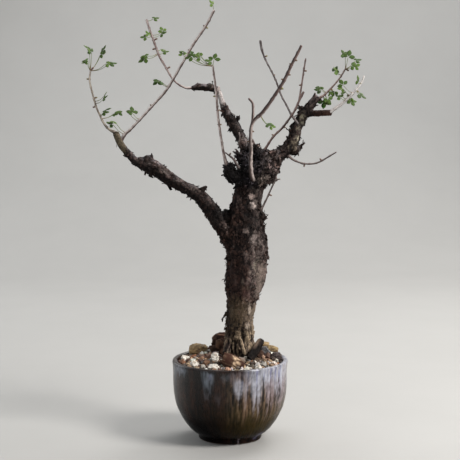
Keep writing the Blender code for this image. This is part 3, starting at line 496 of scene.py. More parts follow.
# The glaze's colour and thickness. A run is 1 within its width and fades over its length, and both edges
# are moved by noise that changes quickly round the pot and slowly down it, with small clouds inside it.
def glazeAt(turn, height):
    girth = potLook["girth"]

    def place(wide, tall):
        return stacked(np.sin(turn) * girth / wide, np.cos(turn) * girth / wide, height / tall)

    coarse, fine, down = noiseAt(place(3.4, 60), 3), noiseAt(place(1.0, 22), 5), noiseAt(place(9, 60), 9)
    cloud, puff = layered(place(16, 24), 3, 7), layered(place(2.6, 6), 3, 11)
    light, degrees = paints(potLook), np.degrees(turn)
    masks = {name: np.zeros(turn.shape) for name in ("frost", "smoke", "lilac")}
    for at, half, top, length, strength, name in glazeRuns + backRuns(np.random.default_rng(8)):
        gap = turnsApart(degrees, at) / half + 0.34 * coarse + 0.14 * fine + 0.12 * puff
        below = top - height
        fallen = below / np.maximum(length * (0.75 + 0.60 * coarse + 0.35 * fine + 0.25 * puff), 4)
        topFade = 2.5 + 0.6 * max(0, 78 - top)
        mask = 1 - ease(0.45, 1.20, gap / (1 - 0.40 * ease(0.2, 1, fallen)))
        mask = mask * ease(-1.5, topFade, below + 3 * coarse + 1.5 * puff)
        mask = mask * (1 - ease(0.30, 1.0, fallen)) * strength
        masks[name] = np.maximum(masks[name], mask)
    right = ease(-15, 62, 90 - turnsApart(degrees, 62))
    veil = ease(8, 24, 90 - turnsApart(degrees, 92)) * ease(63, 76, height + 6 * coarse + 5 * puff)
    masks["frost"] = np.maximum(masks["frost"], 0.85 * veil)
    olive = right * ease(4, 20, height + 6 * puff) * (1 - ease(30, 52, height + 14 * coarse))
    night = (1 - ease(14, 56, height + 10 * cloud)) * (1 - 0.80 * right)
    lines = ease(-0.25, 0.60, fine + 0.6 * coarse + 0.3 * puff)
    tanLines = ease(0.30, 0.85, right) * lines * ease(18, 42, height) * (1 - ease(70, 79, height))
    inside = np.clip(0.82 + 0.20 * fine + 0.15 * coarse + 0.50 * puff, 0, 1.15)
    pale = np.maximum(masks["frost"], masks["lilac"])
    footDrip = ease(9, 6, np.abs(degrees - 14) + 4 * puff) * ease(9, 5, height)
    colour = laid(light["dark"], light, [
        ("warm", ease(-0.35, 0.50, down + 0.15 * coarse + 0.4 * puff)),
        ("olive", np.clip(olive * (0.70 + 0.4 * cloud), 0, 1)),
        ("night", night * 0.96),
        ("tan", tanLines * 0.50),
        ("smoke", masks["smoke"] * (0.80 + 0.35 * puff)),
        ("lilac", np.clip(masks["lilac"] * inside, 0, 1)),
        ("frost", np.clip(masks["frost"] * (inside + 0.12), 0, 1)),
        ("line", masks["frost"] * ease(0.12, 0.50, -0.5 * fine - 0.8 * coarse) * 0.70),
        ("rust", pale * ease(0.22, 0.60, coarse + 0.3 * fine) * 0.50),
        ("lilac", footDrip * ease(2.0, 1.0, np.abs(degrees - 14 + 2 * fine)) * 0.5)])
    # painted highlight: a blue and lilac glint low on the foot, a little right of the front
    paintedFootHighlight = ease(7, 3, np.abs(degrees - 50)) * ease(5, 3, np.abs(height - 7))
    colour = blend(colour, blend(light["line"], light["lilac"], 0.5), paintedFootHighlight * 0.5)
    paleLip = ease(0, 16, 70 - turnsApart(degrees, 80)) * np.clip(0.75 + 0.5 * coarse + 0.6 * puff, 0, 1)
    lipTint = blend(light["lipBrown"], light["frost"], paleLip * 0.72)
    colour = blend(colour, lipTint, ease(79.2, 80.4, height) * 0.85)
    thick = 0.16 * pale + 0.08 * masks["smoke"] + 0.06 * coarse + 0.02 * fine
    return np.maximum(colour * (1 + 0.12 * cloud + 0.16 * puff)[..., None], 0), thick

# The bowl: a profile turned round Z, x = r sin a and y = -r cos a, with throwing rings and glaze
# thickness added to r. Its drain holes are cut last.
def makePot():
    profile = potLook["profile"]
    rows = np.vstack([curveThrough(points, step)[:-1] for step, points in profile.values()])[1:]
    outward = np.arange(len(rows)) < np.argmax(rows[:, 1])
    columns = potLook["columns"]
    turns = np.broadcast_to(anglesRound(columns), (len(rows), columns))
    height = np.broadcast_to(rows[:, 1:2], turns.shape)
    colour, thick = glazeAt(turns, height)
    wobble = noiseAt(stacked(np.sin(turns) * 1.3, np.cos(turns) * 1.3, height / 40), 21)
    rings = 0.025 * np.sin(height * 1.7 + 2 * wobble) + 0.18 * wobble
    glazed = (outward & (rows[:, 0] > potLook["glazeFrom"]))[:, None]
    radius = np.minimum(rows[:, :1] * potLook["fit"] + np.where(glazed, rings + thick, 0), potLook["widest"])
    points = stacked(np.sin(turns) * radius, -np.cos(turns) * radius, height).reshape(-1, 3)
    poles = np.array([[0, 0, profile["under"][1][0][1]], [0, 0, profile["floor"][1][-1][1]]])
    bare = (height < potLook["bareBelow"]) | (~outward[:, None] & (height < potLook["bareInside"]))
    clayTint = paints(potLook)["clay"]
    colour = np.where(bare[..., None], clayTint * (1 + 0.3 * wobble)[..., None], colour)
    girth = potLook["girth"]
    flow = stacked(np.sin(turns) * girth, -np.cos(turns) * girth, height / 9).reshape(-1, 3)
    quads = gridFaces(len(rows), columns, True)
    shape = shapeOf(np.vstack([points, poles]), quads, poleFaces(len(rows), columns),
                    np.vstack([colour.reshape(-1, 3), [clayTint] * 2]), np.vstack([flow, poles]))
    shape["quadFinish"] = bare.reshape(-1)[quads[:, 0]].astype(int)
    shape["triFinish"] = np.ones(len(shape["tris"]), int)
    glaze = makeFinish("streakedGlaze", {
        "speckSize": 1.6, "speckShare": 0.25, "speck": paint(70, 55, 50), "speckKind": "MULTIPLY",
        "grainSize": 0.8, "grainShare": 0.20, "rough": (0.20, 0.38), "bump": 0.16, "bumpDepth": 0.2,
        "shader": {"IOR": 1.48, "Coat Weight": 0.04, "Coat Roughness": 0.10, "Specular IOR Level": 0.28}})
    tree = glaze.node_tree
    own = addNode(tree, "ShaderNodeTexCoord").outputs["Object"]
    rise = addNode(tree, "ShaderNodeSeparateXYZ", {"Vector": own}).outputs[2]
    gloss = tree.nodes["Principled BSDF"].inputs["Specular IOR Level"]
    tree.links.new(rangeNode(tree, rise, 0.025, 0.070, 0.03, 0.36), gloss)
    clay = makeFinish("bareClay", {
        "speckSize": 1.2, "speckShare": 0.5, "speck": paint(55, 42, 36), "grainSize": 0.5,
        "grainShare": 0.25, "rough": (0.75, 0.95), "bump": 0.5, "bumpDepth": 0.3})
    pot = putPiece("streakedBowl", shape, [glaze, clay], ["pot"], 50)
    cutDrains(pot)
    print("pot:", len(pot.data.polygons), "faces")

# drain holes: round cutters on a ring under the floor, taken out by one Boolean
def cutDrains(pot):
    ring, radius = potLook["drainRing"], potLook["drainRadius"]
    cutters = []
    for index in range(potLook["drainHoles"]):
        turn = 2 * math.pi * (index / potLook["drainHoles"] + 0.25)
        x, y = ring * math.cos(turn), ring * math.sin(turn)
        cutters.append(sweep(np.array([(x, y, z, radius) for z in (-6, 4, 15)], float), 32, 0.1))
    cutter = placed("drainCutter", meshOf("drainCutter", joined(cutters)))
    cut = pot.modifiers.new("drains", "BOOLEAN")
    cut.operation = "DIFFERENCE"
    cut.solver = "MANIFOLD"
    cut.object = cutter
    mesh = appliedMesh(pot)
    pot.modifiers.clear()
    pot.data = mesh
    bpy.data.objects.remove(cutter, do_unlink=True)

# The soil and its grit

soilLook = {
    "edge": 75.5, "heap": 8, "backHeap": 5, "heapRadius": 54, "radius": 53.4, "collar": 19, "trunkX": 10,
    "floorHeight": 9.4, "cells": 132, "tries": 14, "colours": {"earth": (46, 34, 27), "dust": (84, 66, 50)},
    # the border's way down inside the wall: share of the radius, share of the height
    "wall": [(1.0, 0.97), (0.995, 0.75), (0.975, 0.55), (0.90, 0.33), (0.76, 0.14), (0.62, 0.0)],
    # the sizes of grain: how many, smallest and largest, and the room between two
    "grains": [(80, 5.0, 8.0, 7.2), (290, 3.4, 5.8, 3.7), (520, 1.9, 3.3, 1.9)],
    "reach": 52.2,          # no grain's middle lies further out
    "trunkRoom": 15.5,      # nor nearer to the trunk
    "white": (206, 201, 192),
    # white lumps: x, y, size
    "whites": [(33, 34, 7), (43, 9, 9), (40, 17, 6.5), (-22, 15, 8), (-29, 8, 6), (-14, 4, 6), (-37, -14, 7),
               (27, -33, 7), (20, -42, 6), (46, -5, 6), (-43, 3, 6), (-8, 44, 8), (24, 43, 7), (-38, 28, 7)],
}
# grit colours, and how often each is drawn on the left and on the right
gritColours = [((176, 142, 112), 5, 5), ((142, 96, 64), 3, 1.5), ((94, 66, 54), 5, 3), ((58, 44, 38), 5, 4),
               ((212, 206, 198), 6, 8), ((120, 108, 96), 4, 4), ((84, 82, 80), 2, 3), ((184, 158, 128), 4, 4)]

# the heaped soil: edge + (heap + backHeap y / R behind)(1 - (r / R)^3), level round the trunk
def soilHeight(x, y):
    spread = np.minimum(1, np.hypot(x, y) / soilLook["heapRadius"])
    collar = soilLook["edge"] + soilLook["heap"]
    heap = soilLook["heap"] + soilLook["backHeap"] * np.maximum(0, y) / soilLook["heapRadius"]
    heap = soilLook["edge"] + heap * (1 - spread ** 3)
    waves = 0.9 * noiseAt(stacked(x / 9, y / 9, 2.5), 31)
    share = np.clip((np.hypot(x - soilLook["trunkX"], y) - soilLook["collar"]) / 8, 0, 1)
    return collar + (heap + waves * np.minimum(1, (1 - spread) * 5) - collar) * share

# The soil's top: a square grid u, v carried to a disc, x = r u sqrt(1 - v^2 / 2), y = r v sqrt(1 - u^2 / 2).
# Its border runs down inside the pot's wall to a floor.
def makeSoil():
    size = soilLook["cells"] + 1
    edge = np.linspace(-1, 1, size)
    u, v = np.meshgrid(edge, edge, indexing="ij")
    x = soilLook["radius"] * u * np.sqrt(1 - v ** 2 / 2)
    y = soilLook["radius"] * v * np.sqrt(1 - u ** 2 / 2)
    z = soilHeight(x, y)
    place = stacked(x, y, z)
    near, second, _, mark = cellsAt(place / 1.5, 33)
    lumps = ease(0.02, 0.35, second - near)
    rim = ease(1.0, 0.93, np.hypot(x, y) / soilLook["radius"])
    z = z - 0.9 + rim * (0.55 * lumps * (0.4 + mark) + 0.7 * layered(place / 3.4, 3, 35))
    top = stacked(x, y, z).reshape(-1, 3)
    border = np.roll(gridBorder(size, size)[::-1], 1)
    count, foot, wall = len(border), soilLook["floorHeight"], soilLook["wall"]
    tall = soilLook["edge"] - foot
    skirt = [np.column_stack([top[border, :2] * share, np.full(count, foot + tall * rise)])
             for share, rise in wall]
    points = np.vstack([top] + skirt + [[[0, 0, foot]]])
    after = np.roll(np.arange(count), -1)
    rings = [border] + [len(top) + count * index + np.arange(count) for index in range(len(wall))]
    sides = [np.stack([upper[after], upper, lower, lower[after]], -1)
             for upper, lower in zip(rings, rings[1:])]
    base = np.column_stack([rings[-1], rings[-1][after], np.full(count, len(points) - 1)])[:, ::-1]
    light = paints(soilLook)
    tint = blend(light["earth"], light["dust"], ease(-0.3, 0.6, layered(points / 5, 3, 37)))
    # the soil's top is painted darker in the low gaps between its lumps (painted shade), and its lumps differ
    # in tone at random
    tint[:len(top)] *= (0.55 + 0.6 * lumps * (0.5 + mark)).reshape(-1, 1)
    earth = makeFinish("darkEarth", {
        "speckSize": 0.9, "speckShare": 0.5, "speck": paint(120, 98, 76), "grainSize": 0.4,
        "grainShare": 0.4, "rough": (0.85, 1.0), "bump": 0.8, "bumpDepth": 0.4})
    shape = shapeOf(points, np.vstack([gridFaces(size, size)[:, ::-1]] + sides), base, tint)
    putPiece("earthBed", shape, [earth], ["soil"], 80)
    print("soil:", len(points), "points")

# A low-sided lump shared by all the small grains: poles and rings of sides, radius 1.
def lumpGrid(sides, rings):
    rise = ((np.arange(1, rings + 1) / (rings + 1) - 0.5) * math.pi)[:, None]
    turn = anglesRound(sides)[None] + (np.arange(rings) % 2)[:, None] * math.pi / sides
    body = stacked(np.cos(rise) * np.cos(turn), np.cos(rise) * np.sin(turn), np.sin(rise)).reshape(-1, 3)
    return np.vstack([body, [0, 0, -1], [0, 0, 1]]), gridFaces(rings, sides, True), poleFaces(rings, sides)

# many small copies of a form: each is sized, turned and moved as one array, point = at + turn (form size)
def scattered(form, sizes, turns, places, tints):
    points, quads, tris = form
    count = len(places)
    whole = np.einsum("nij,npj->npi", turns, points[None] * sizes[:, None]) + places[:, None]
    shift = (np.arange(count) * len(points))[:, None, None]
    return whole, (quads[None] + shift).reshape(-1, 4), (tris[None] + shift).reshape(-1, 3), \
        np.repeat(tints, len(points), axis=0)

# turns drawn evenly from all directions, as matrices of random unit quaternions
def randomTurns(rng, count):
    w, x, y, z = unit(rng.normal(size=(count, 4))).T
    return np.stack([stacked(1 - 2 * (y * y + z * z), 2 * (x * y - z * w), 2 * (x * z + y * w)),
                     stacked(2 * (x * y + z * w), 1 - 2 * (x * x + z * z), 2 * (y * z - x * w)),
                     stacked(2 * (x * z - y * w), 2 * (y * z + x * w), 1 - 2 * (x * x + y * y))], -2)

# places for the grains, largest first: a draw is kept where no kept one and no stone lies too near
def gritPlaces(rng, blocked):
    kept = np.zeros((0, 4))
    for count, smallest, largest, spacing in soilLook["grains"]:
        full = len(kept) + count
        for _ in range(count * soilLook["tries"]):
            if len(kept) == full:
                break
            radius, turn = soilLook["reach"] * math.sqrt(rng.random()), rng.uniform(0, 2 * math.pi)
            x, y = radius * math.cos(turn), radius * math.sin(turn)
            size = rng.uniform(smallest, largest)
            if radius + size * 0.45 > soilLook["radius"]:
                continue
            room = np.hypot(kept[:, 0] - x, kept[:, 1] - y) - kept[:, 3] * 0.42
            if len(kept) and np.min(room) < spacing * 0.42:
                continue
            if np.min(np.hypot(blocked[:, 0] - x, blocked[:, 1] - y) - blocked[:, 2]) < size * 0.2:
                continue
            kept = np.vstack([kept, [x, y, rng.random(), size]])
    return kept

# grains on the soil: stretched, turned and dented lumps, with colours drawn by their side of the pot
def makeGrit():
    rng = np.random.default_rng(12)
    blocked = [(soilLook["trunkX"], 0, soilLook["trunkRoom"])]
    for name in list(stoneLooks) + list(barkLooks):
        low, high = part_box(name)
        middle = (low + high) / 2 / metre
        reach = min(high.x - low.x, high.y - low.y) / 2 / metre
        span = max(0, (high.x - low.x) / 2 / metre - reach)
        blocked += [(middle.x + share * span * 0.8, middle.y, reach * 0.9) for share in (-1, 0, 1)]
    places = gritPlaces(rng, np.array(blocked))
    loose = len(places)
    places = np.vstack([places, [(x, y, 0, size) for x, y, size in soilLook["whites"]]])
    count = len(places)
    shares = rng.random(count)
    right = ease(-30, 10, places[:, 0] + 14 * rng.normal(size=count))
    weights = np.array([row[1:] for row in gritColours]).T
    onLeft, onRight = [np.cumsum(often / often.sum()) for often in weights]
    table = (1 - right)[:, None] * onLeft + right[:, None] * onRight
    pick = np.minimum((shares[:, None] > table).sum(1), len(gritColours) - 1)
    pick[loose:] = len(gritColours)
    palette = np.array([paint(*row[0]) for row in gritColours] + [paint(*soilLook["white"])])
    tints = palette[pick] * rng.uniform(0.50, 1.10, (count, 1)) * rng.uniform(0.94, 1.06, (count, 3))
    sizes = places[:, 3:4] / 2 * rng.uniform(0.62, 1.22, (count, 3))
    heights = soilHeight(places[:, 0], places[:, 1]) - 0.5 + places[:, 3] * rng.uniform(0.05, 0.30, count)
    at = np.column_stack([places[:, :2], heights])
    form = lumpGrid(6, 3)
    whole, quads, tris, tint = scattered(form, sizes, randomTurns(rng, count), at, tints)
    own = (np.arange(count) * 7.3)[:, None, None] + form[0][None] * 1.3
    centre = at[:, None]
    whole = (centre + (whole - centre) * (1 + 0.62 * noiseAt(own, 41))[..., None]).reshape(-1, 3)
    tint = tint * (0.95 + 0.55 * noiseAt(whole / 1.6, 43))[:, None]
    grit = makeFinish("mixedGrit", {
        "speckSize": 0.9, "speckShare": 0.45, "speck": paint(80, 62, 50), "grainSize": 0.35,
        "grainShare": 0.40, "rough": (0.7, 0.95), "bump": 0.55, "bumpDepth": 0.25})
    putPiece("gritGrains", shapeOf(whole, quads, tris, tint), [grit], ["soil"], 24)
    print("grit:", count, "grains")

# The larger stones

# width, depth, height, turn, power of the rounding, slot, two colours, pits, cut faces
stoneLooks = {
    "tan_block_stone": ((19.5, 13.5, 13), 8, 2.2, "tan_stone", (150, 126, 88), (72, 50, 34), 0.3, 5),
    "grey_stone": ((10, 9, 12), 20, 2.6, "grey_stone", (92, 90, 90), (46, 45, 48), 0.3, 8),
    "ochre_stone_back": ((15, 10, 10), 40, 2.5, "tan_stone", (150, 128, 90), (92, 68, 48), 0.3, 6),
    "ochre_stone_side": ((17, 10, 9.5), -12, 2.5, "tan_stone", (156, 134, 94), (84, 62, 46), 0.3, 7),
    "lava_stone": ((11, 9, 10), 15, 2.4, "dark_stone", (66, 54, 50), (28, 22, 22), 0.9, 5),
    "pumice_tall": ((8.5, 8, 11), 10, 2.3, "pumice", (214, 210, 202), (140, 122, 104), 0.9, 9),
    "pumice_left": ((9, 8, 8), 30, 2.3, "pumice", (216, 212, 204), (146, 130, 112), 0.9, 9),
    "pumice_front": ((12, 8, 8), 5, 2.3, "pumice", (216, 212, 204), (146, 128, 108), 0.9, 10),
    "pumice_chip": ((7, 7, 6), 50, 2.2, "pumice", (210, 206, 198), (142, 124, 106), 0.9, 7),
    "pumice_right": ((7, 7, 7), 70, 2.2, "pumice", (210, 198, 188), (140, 108, 90), 0.9, 7),
    "tan_stone_back": ((14, 10, 9), 12, 2.5, "tan_stone", (152, 126, 90), (90, 66, 46), 0.3, 8),
    "pumice_back": ((9, 8, 8), 33, 2.4, "pumice", (210, 204, 194), (142, 126, 110), 0.9, 8),
    "brown_stone_back": ((8, 8, 8), 60, 2.6, "dark_stone", (96, 64, 48), (52, 34, 28), 0.3, 6),
    "white_stone_side": ((9, 10, 8), 15, 2.4, "pumice", (212, 206, 196), (142, 126, 110), 0.9, 8),
}
# two of them lie a little off their solids
stoneMoves = {"ochre_stone_back": (2, 0, 2), "ochre_stone_side": (-3, 0, 3)}

# A stone: a ball squared to (|x|^p + |y|^p + |z|^p)^(-1/p), cut by random planes to d / (n . ball) where
# that is nearer, dented by noise, sized and turned, and pitted where its pumice or lava is open.
def makeStones():
    ball, quads = ballGrid(22)
    finishes = {}
    for number, (name, look) in enumerate(stoneLooks.items()):
        size, turn, power, slot, pale, deep, pits, cuts = look
        seed = round(3.7 * number, 1)
        rng = np.random.default_rng(int(seed * 10) + 3)
        reach = (np.abs(ball) ** power).sum(1) ** (-1 / power)
        for _ in range(cuts):
            plane = unit(rng.normal(size=3))
            facing = ball @ plane
            depth = rng.uniform(0.70, 0.95) * (np.abs(plane) ** power).sum() ** (-1 / power)
            reach = np.minimum(reach, np.where(facing > 0.05, depth / np.maximum(facing, 0.05), 9))
        reach = reach * (1.03 + 0.16 * layered(ball * 1.5 + seed, 3, 51))
        body = ball * reach[:, None] * np.array(size) / 2
        rough = 0.50 * layered(body / 2.0 + seed, 3, 53)
        near, _, _, mark = cellsAt(body / 1.25 + seed, 55)
        hollow = (1 - ease(0.12, 0.42, near)) * (mark > 0.45) * pits
        body = body + ball * (rough - 0.75 * hollow)[:, None]
        low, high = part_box(name)
        middle = np.array((low + high) / 2) / metre + stoneMoves.get(name, (0, 0, 0))
        mottle = ease(-0.15, 0.55, layered(body / 3.0 + seed, 3, 57))
        # the stone is painted darker in its pits and a little lighter on its bumps: painted shade and painted
        # light
        tint = blend(paint(*pale), paint(*deep), mottle * 0.8) * (1 - 0.55 * hollow + 0.25 * rough)[:, None]
        if slot == "tan_stone":
            bands = 0.5 + 0.5 * np.sin(body[:, 2] * 2.2 + 2.5 * noiseAt(body / 4, 59))
            tint = tint * (0.80 + 0.28 * bands)[:, None]
        if slot not in finishes:
            finishes[slot] = makeFinish(slot.replace("_", "") + "Finish", {
                "speckSize": 0.7, "speckShare": 0.30, "speck": paint(*deep), "grainSize": 0.3,
                "grainShare": 0.22, "rough": (0.72, 0.96), "bump": 0.6, "bumpDepth": 0.3})
        shape = shapeOf(body @ turnBy((0, 0, turn)).T + middle, quads, (), tint)
        putPiece(fineName(name), shape, [finishes[slot]], [name], 70)
    print("stones:", len(stoneLooks))

# The loose bark

# centre, then length, width, thickness, how far the plate bends and narrows, its turns, and two colours
barkLooks = {
    "bark_dome": ((-6.5, 25, 93.2), (24, 20.5, 5), 3.0, 0.92, (80, 8, 14), (126, 94, 78), (54, 37, 32)),
    "bark_plank": ((26.5, -12, 92), (31, 11, 4), 1.5, 0.55, (84, -28, 62), (38, 30, 27), (9, 7, 7)),
    "bark_chip": ((4.8, -39, 85.4), (26, 15, 3.2), 3.5, 0.35, (52, 29, -5), (226, 196, 162), (58, 36, 28)),
}

# bits of bark round the foot of the trunk: centre, length, width and thickness, turns, colour
barkBits = [
    ((-9.5, 11, 90.5), (11, 17, 2.6), (78, 12, 10), (122, 92, 74)),
    ((-14.5, 8, 87), (9, 12, 2.4), (65, -18, 25), (140, 108, 84)),
    ((-5.5, 2, 88), (8, 13, 2.4), (80, 25, -15), (108, 80, 66)),
    ((-18, 15, 86.5), (10, 10, 2.4), (60, 30, -20), (96, 66, 52)),
    ((-21, 1, 84.2), (10, 7, 2.2), (18, 12, 40), (150, 116, 90)),
    ((-9, -10, 85), (11, 7, 2.2), (25, -15, 120), (112, 82, 66)),
    ((31, -5, 86), (8, 11, 2.4), (70, -30, 40), (90, 68, 56)),
    ((38, 14, 85.5), (10, 7, 2.2), (20, -20, 10), (128, 98, 78)),
    ((-1, -22, 85), (9, 6, 2.2), (15, 20, 150), (134, 104, 84)),
    ((28, 12, 87), (12, 8, 2.4), (40, 20, 70), (84, 62, 52)),
]
# the bits' bend, narrowing and deep colour, and the pale colour of the painted highlight on the plank's lit
# edge
bitLook = {"bend": 1.2, "narrowing": 0.5, "deep": (50, 34, 28), "paintedLitEdge": (132, 112, 96)}

# A bark plate: its section is (sign cos)^0.5 wide and (sign sin)^0.6 thick, carried along its length,
# narrowed by sqrt(1 - n a^2), arched by - bend w^2 + 0.3 bend (1 - a^2) and torn at both ends.
def plateShape(number, look, sections, sides):
    at, (length, width, thickness), bend, narrowing, turns, pale, deep = look
    closing = np.linspace(0.15, 0.92, 5)
    share = np.concatenate([closing, np.ones(sections), np.linspace(0.92, 0.15, 5)])[:, None]
    along = np.concatenate([np.full(5, -1.0), np.linspace(-1, 1, sections), np.full(5, 1.0)])[:, None]
    angle = anglesRound(sides)
    thick = np.sign(np.sin(angle)) * np.abs(np.sin(angle)) ** 0.6
    across = (np.sign(np.cos(angle)) * np.abs(np.cos(angle)) ** 0.5)[None] * share
    torn = noiseAt(stacked(across * 2.6, along * 2, number), 61)
    x = along * length / 2 * (1 + (0.28 - 0.24 * narrowing) * torn)
    side = noiseAt(stacked(np.sign(across) * 3, along * 3.4, number), 68)
    y = across * width / 2 * (np.sqrt(1 - narrowing * along ** 2) + (0.22 - 0.18 * narrowing) * side)
    z = thick[None] * share * thickness / 2 * (0.85 + 0.2 * torn)
    body = stacked(x, y, z)
    fibres = layered(body / [9, 1.3, 1.3] + number * 5, 3, 63)
    steps = np.floor(layered(body / [7, 3.2, 3.2] + number, 2, 65) * 4) / 4
    upper = np.sign(body[..., 2:]) * ease(0.2, 0.9, np.abs(thick))[None, :, None]
    body = body + upper * ((0.60 * fibres + 0.80 * steps)[..., None] * [0, 0, min(1, thickness / 4.5)])
    body[..., 2] += -bend * across ** 2 + 0.3 * bend * (1 - along ** 2)
    points = np.vstack([body.reshape(-1, 3), body[0].mean(0), body[-1].mean(0)])
    groove = ease(-0.25, 0.5, np.concatenate([(fibres + 0.6 * steps).ravel(), [0, 0]]))
    tint = blend(paint(*deep), paint(*pale), groove)
    if number == 2:         # the chip is peeled at one end
        peeled = ease(-3.8, -1.2, points[:, 0] + 0.35 * points[:, 1] + 2.5 * noiseAt(points / 3, 67))
        tint = blend(paint(*deep) * 1.2, tint, 0.10 + 0.90 * peeled)
    if number == 1:         # and the plank's upper edge is painted pale, a painted highlight where light catches it
        paintedLitEdge = ease(0.55, 0.95, points[:, 1] / width * 2) * ease(-0.4, 0.3, points[:, 0] / length * 2)
        tint = blend(tint, paint(*bitLook["paintedLitEdge"]), paintedLitEdge * 0.55)
    return shapeOf(points @ turnBy(turns).T + np.array(at), gridFaces(len(body), sides, True),
                   poleFaces(len(body), sides), tint, points)

# the three large pieces of bark in place of their solids, and the small bits as one piece
def makeLooseBark():
    bark = makeFinish("looseBark", {
        "speckSize": 1.0, "speckShare": 0.28, "speck": paint(34, 24, 20), "grainSize": 0.5,
        "grainShare": 0.35, "rough": (0.8, 1.0), "bump": 0.7, "bumpDepth": 0.35, "stretch": (0.25, 1, 1),
        "shader": {"Specular IOR Level": 0.15}})
    for number, (name, look) in enumerate(barkLooks.items()):
        putPiece(fineName(name), plateShape(number, look, 64, 56), [bark], [name])
    bits = []
    for number, (at, size, turns, pale) in enumerate(barkBits):
        look = (at, size, bitLook["bend"], bitLook["narrowing"], turns, pale, bitLook["deep"])
        bits.append(plateShape(number + 10, look, 18, 20))
    putPiece("barkBits", joined(bits), [bark], ["soil"])
    print("loose bark:", len(barkLooks), "pieces and", len(barkBits), "bits")

# The old stems

# routes of x, z in the front plane, depth and radius, as the solids have them
trunkRoute = [(10, 59, 0, 14), (10, 85.5, 0, 14), (10, 90, 0, 15.4), (9.6, 100, 0, 14.6), (9.6, 112, -1, 13.8),
              (9.9, 123, -1, 13.7), (11.7, 136, -1, 14.6), (13, 150, -2, 16), (15.3, 164, -2, 18),
              (17.4, 180, -2, 19.2), (17.2, 196, -1, 19), (16.8, 210, 0, 18.4), (17, 227, 1, 16.8),
              (17.4, 241, 1, 14.6), (19.4, 252, 1, 13.4), (23, 264, 1, 14.4), (27, 272, 1, 12)]
limbRoutes = {
    "left": [(12, 188, 0, 13), (5, 202, 0, 12), (-2.5, 211, 0, 10), (-10, 219.5, -1, 8.3),
             (-18, 231, -2, 7.8), (-26, 242, -4, 7.4), (-34, 249.5, -5, 6.3), (-46, 255.6, -6, 5.4),
             (-54, 260, -7, 5.6), (-62, 265, -8, 6.5), (-70, 271.2, -9, 6.8), (-78, 275.6, -10, 7.3),
             (-86, 278.4, -10, 6), (-94, 281.4, -10, 4), (-102, 289.5, -10, 3.6), (-108, 297, -10, 3.5),
             (-112, 305, -9, 3.4), (-113.5, 309.5, -8, 3.2)],
    "middle": [(20, 275, 6, 8), (17, 289, 11, 6), (12, 302, 16, 4.8), (6.5, 313.5, 21, 5.6),
               (-0.5, 324, 26, 5), (-5.5, 334, 30, 4.1), (-9, 344, 33, 2.6), (-13, 352, 35, 3.1),
               (-23, 354.5, 36, 3.2), (-31, 355, 37, 3.2), (-37.5, 354, 38, 2.4)],
    "right": [(26, 268, 1, 13), (38, 278, 2, 10.4), (48, 287, 4, 7.6), (57.5, 294, 7, 6.8),
              (63.5, 303, 9, 6.2), (65.5, 313, 10, 5.9), (70, 322, 11, 5), (74.5, 330, 12, 5),
              (80, 337, 13, 4.4), (86.5, 345, 14, 3.3)],
    "rightStub": [(75, 328, 12, 3.4), (82, 329, 10, 3.2), (92, 329.5, 7, 3.1), (101, 330, 4, 2.9)],
    "burrArm": [(15, 264, -6, 8), (5, 267, -11, 6.2), (-0.5, 270, -15, 4.6), (-3.5, 277, -17, 3)],
    "rootFront": [(9, 112, -9, 3.2), (11, 98, -13, 3.6), (14, 85, -17, 3)],
    "rootLeft": [(2, 108, -6, 3.2), (-1, 97, -10, 3.4), (-4.5, 86, -13, 3)],
    "rootRight": [(18, 104, 4, 3.4), (22, 95, 7, 3.4), (25.5, 89, 9, 3)],
    "rootBack": [(6, 104, 9, 3.6), (3, 97, 13, 3.6), (0, 91, 17, 3)],
}
# rounded knots of the burr and limbs: x, z, depth, radius
knots = [(30, 283, 2, 10.5), (34, 271, -3, 13), (21, 272, -6, 10), (11, 263, -8, 6.8), (2.5, 266, -12, 5.8),
         (0, 276, -15, 4.2), (18, 285, 8, 6), (32, 226, -4, 4.0), (-82, 282.2, -10, 6),
         (-88.6, 281.4, -10, 4.6), (24, 258, 8, 11),
         (13.5, 284, -2, 5.2), (23, 294, 0, 4.6), (64, 292, 6, 5), (-3.5, 224, 1, 8.4), (-31, 355.8, 37, 3.3),
         (-20, 355.4, 36, 3.7)]
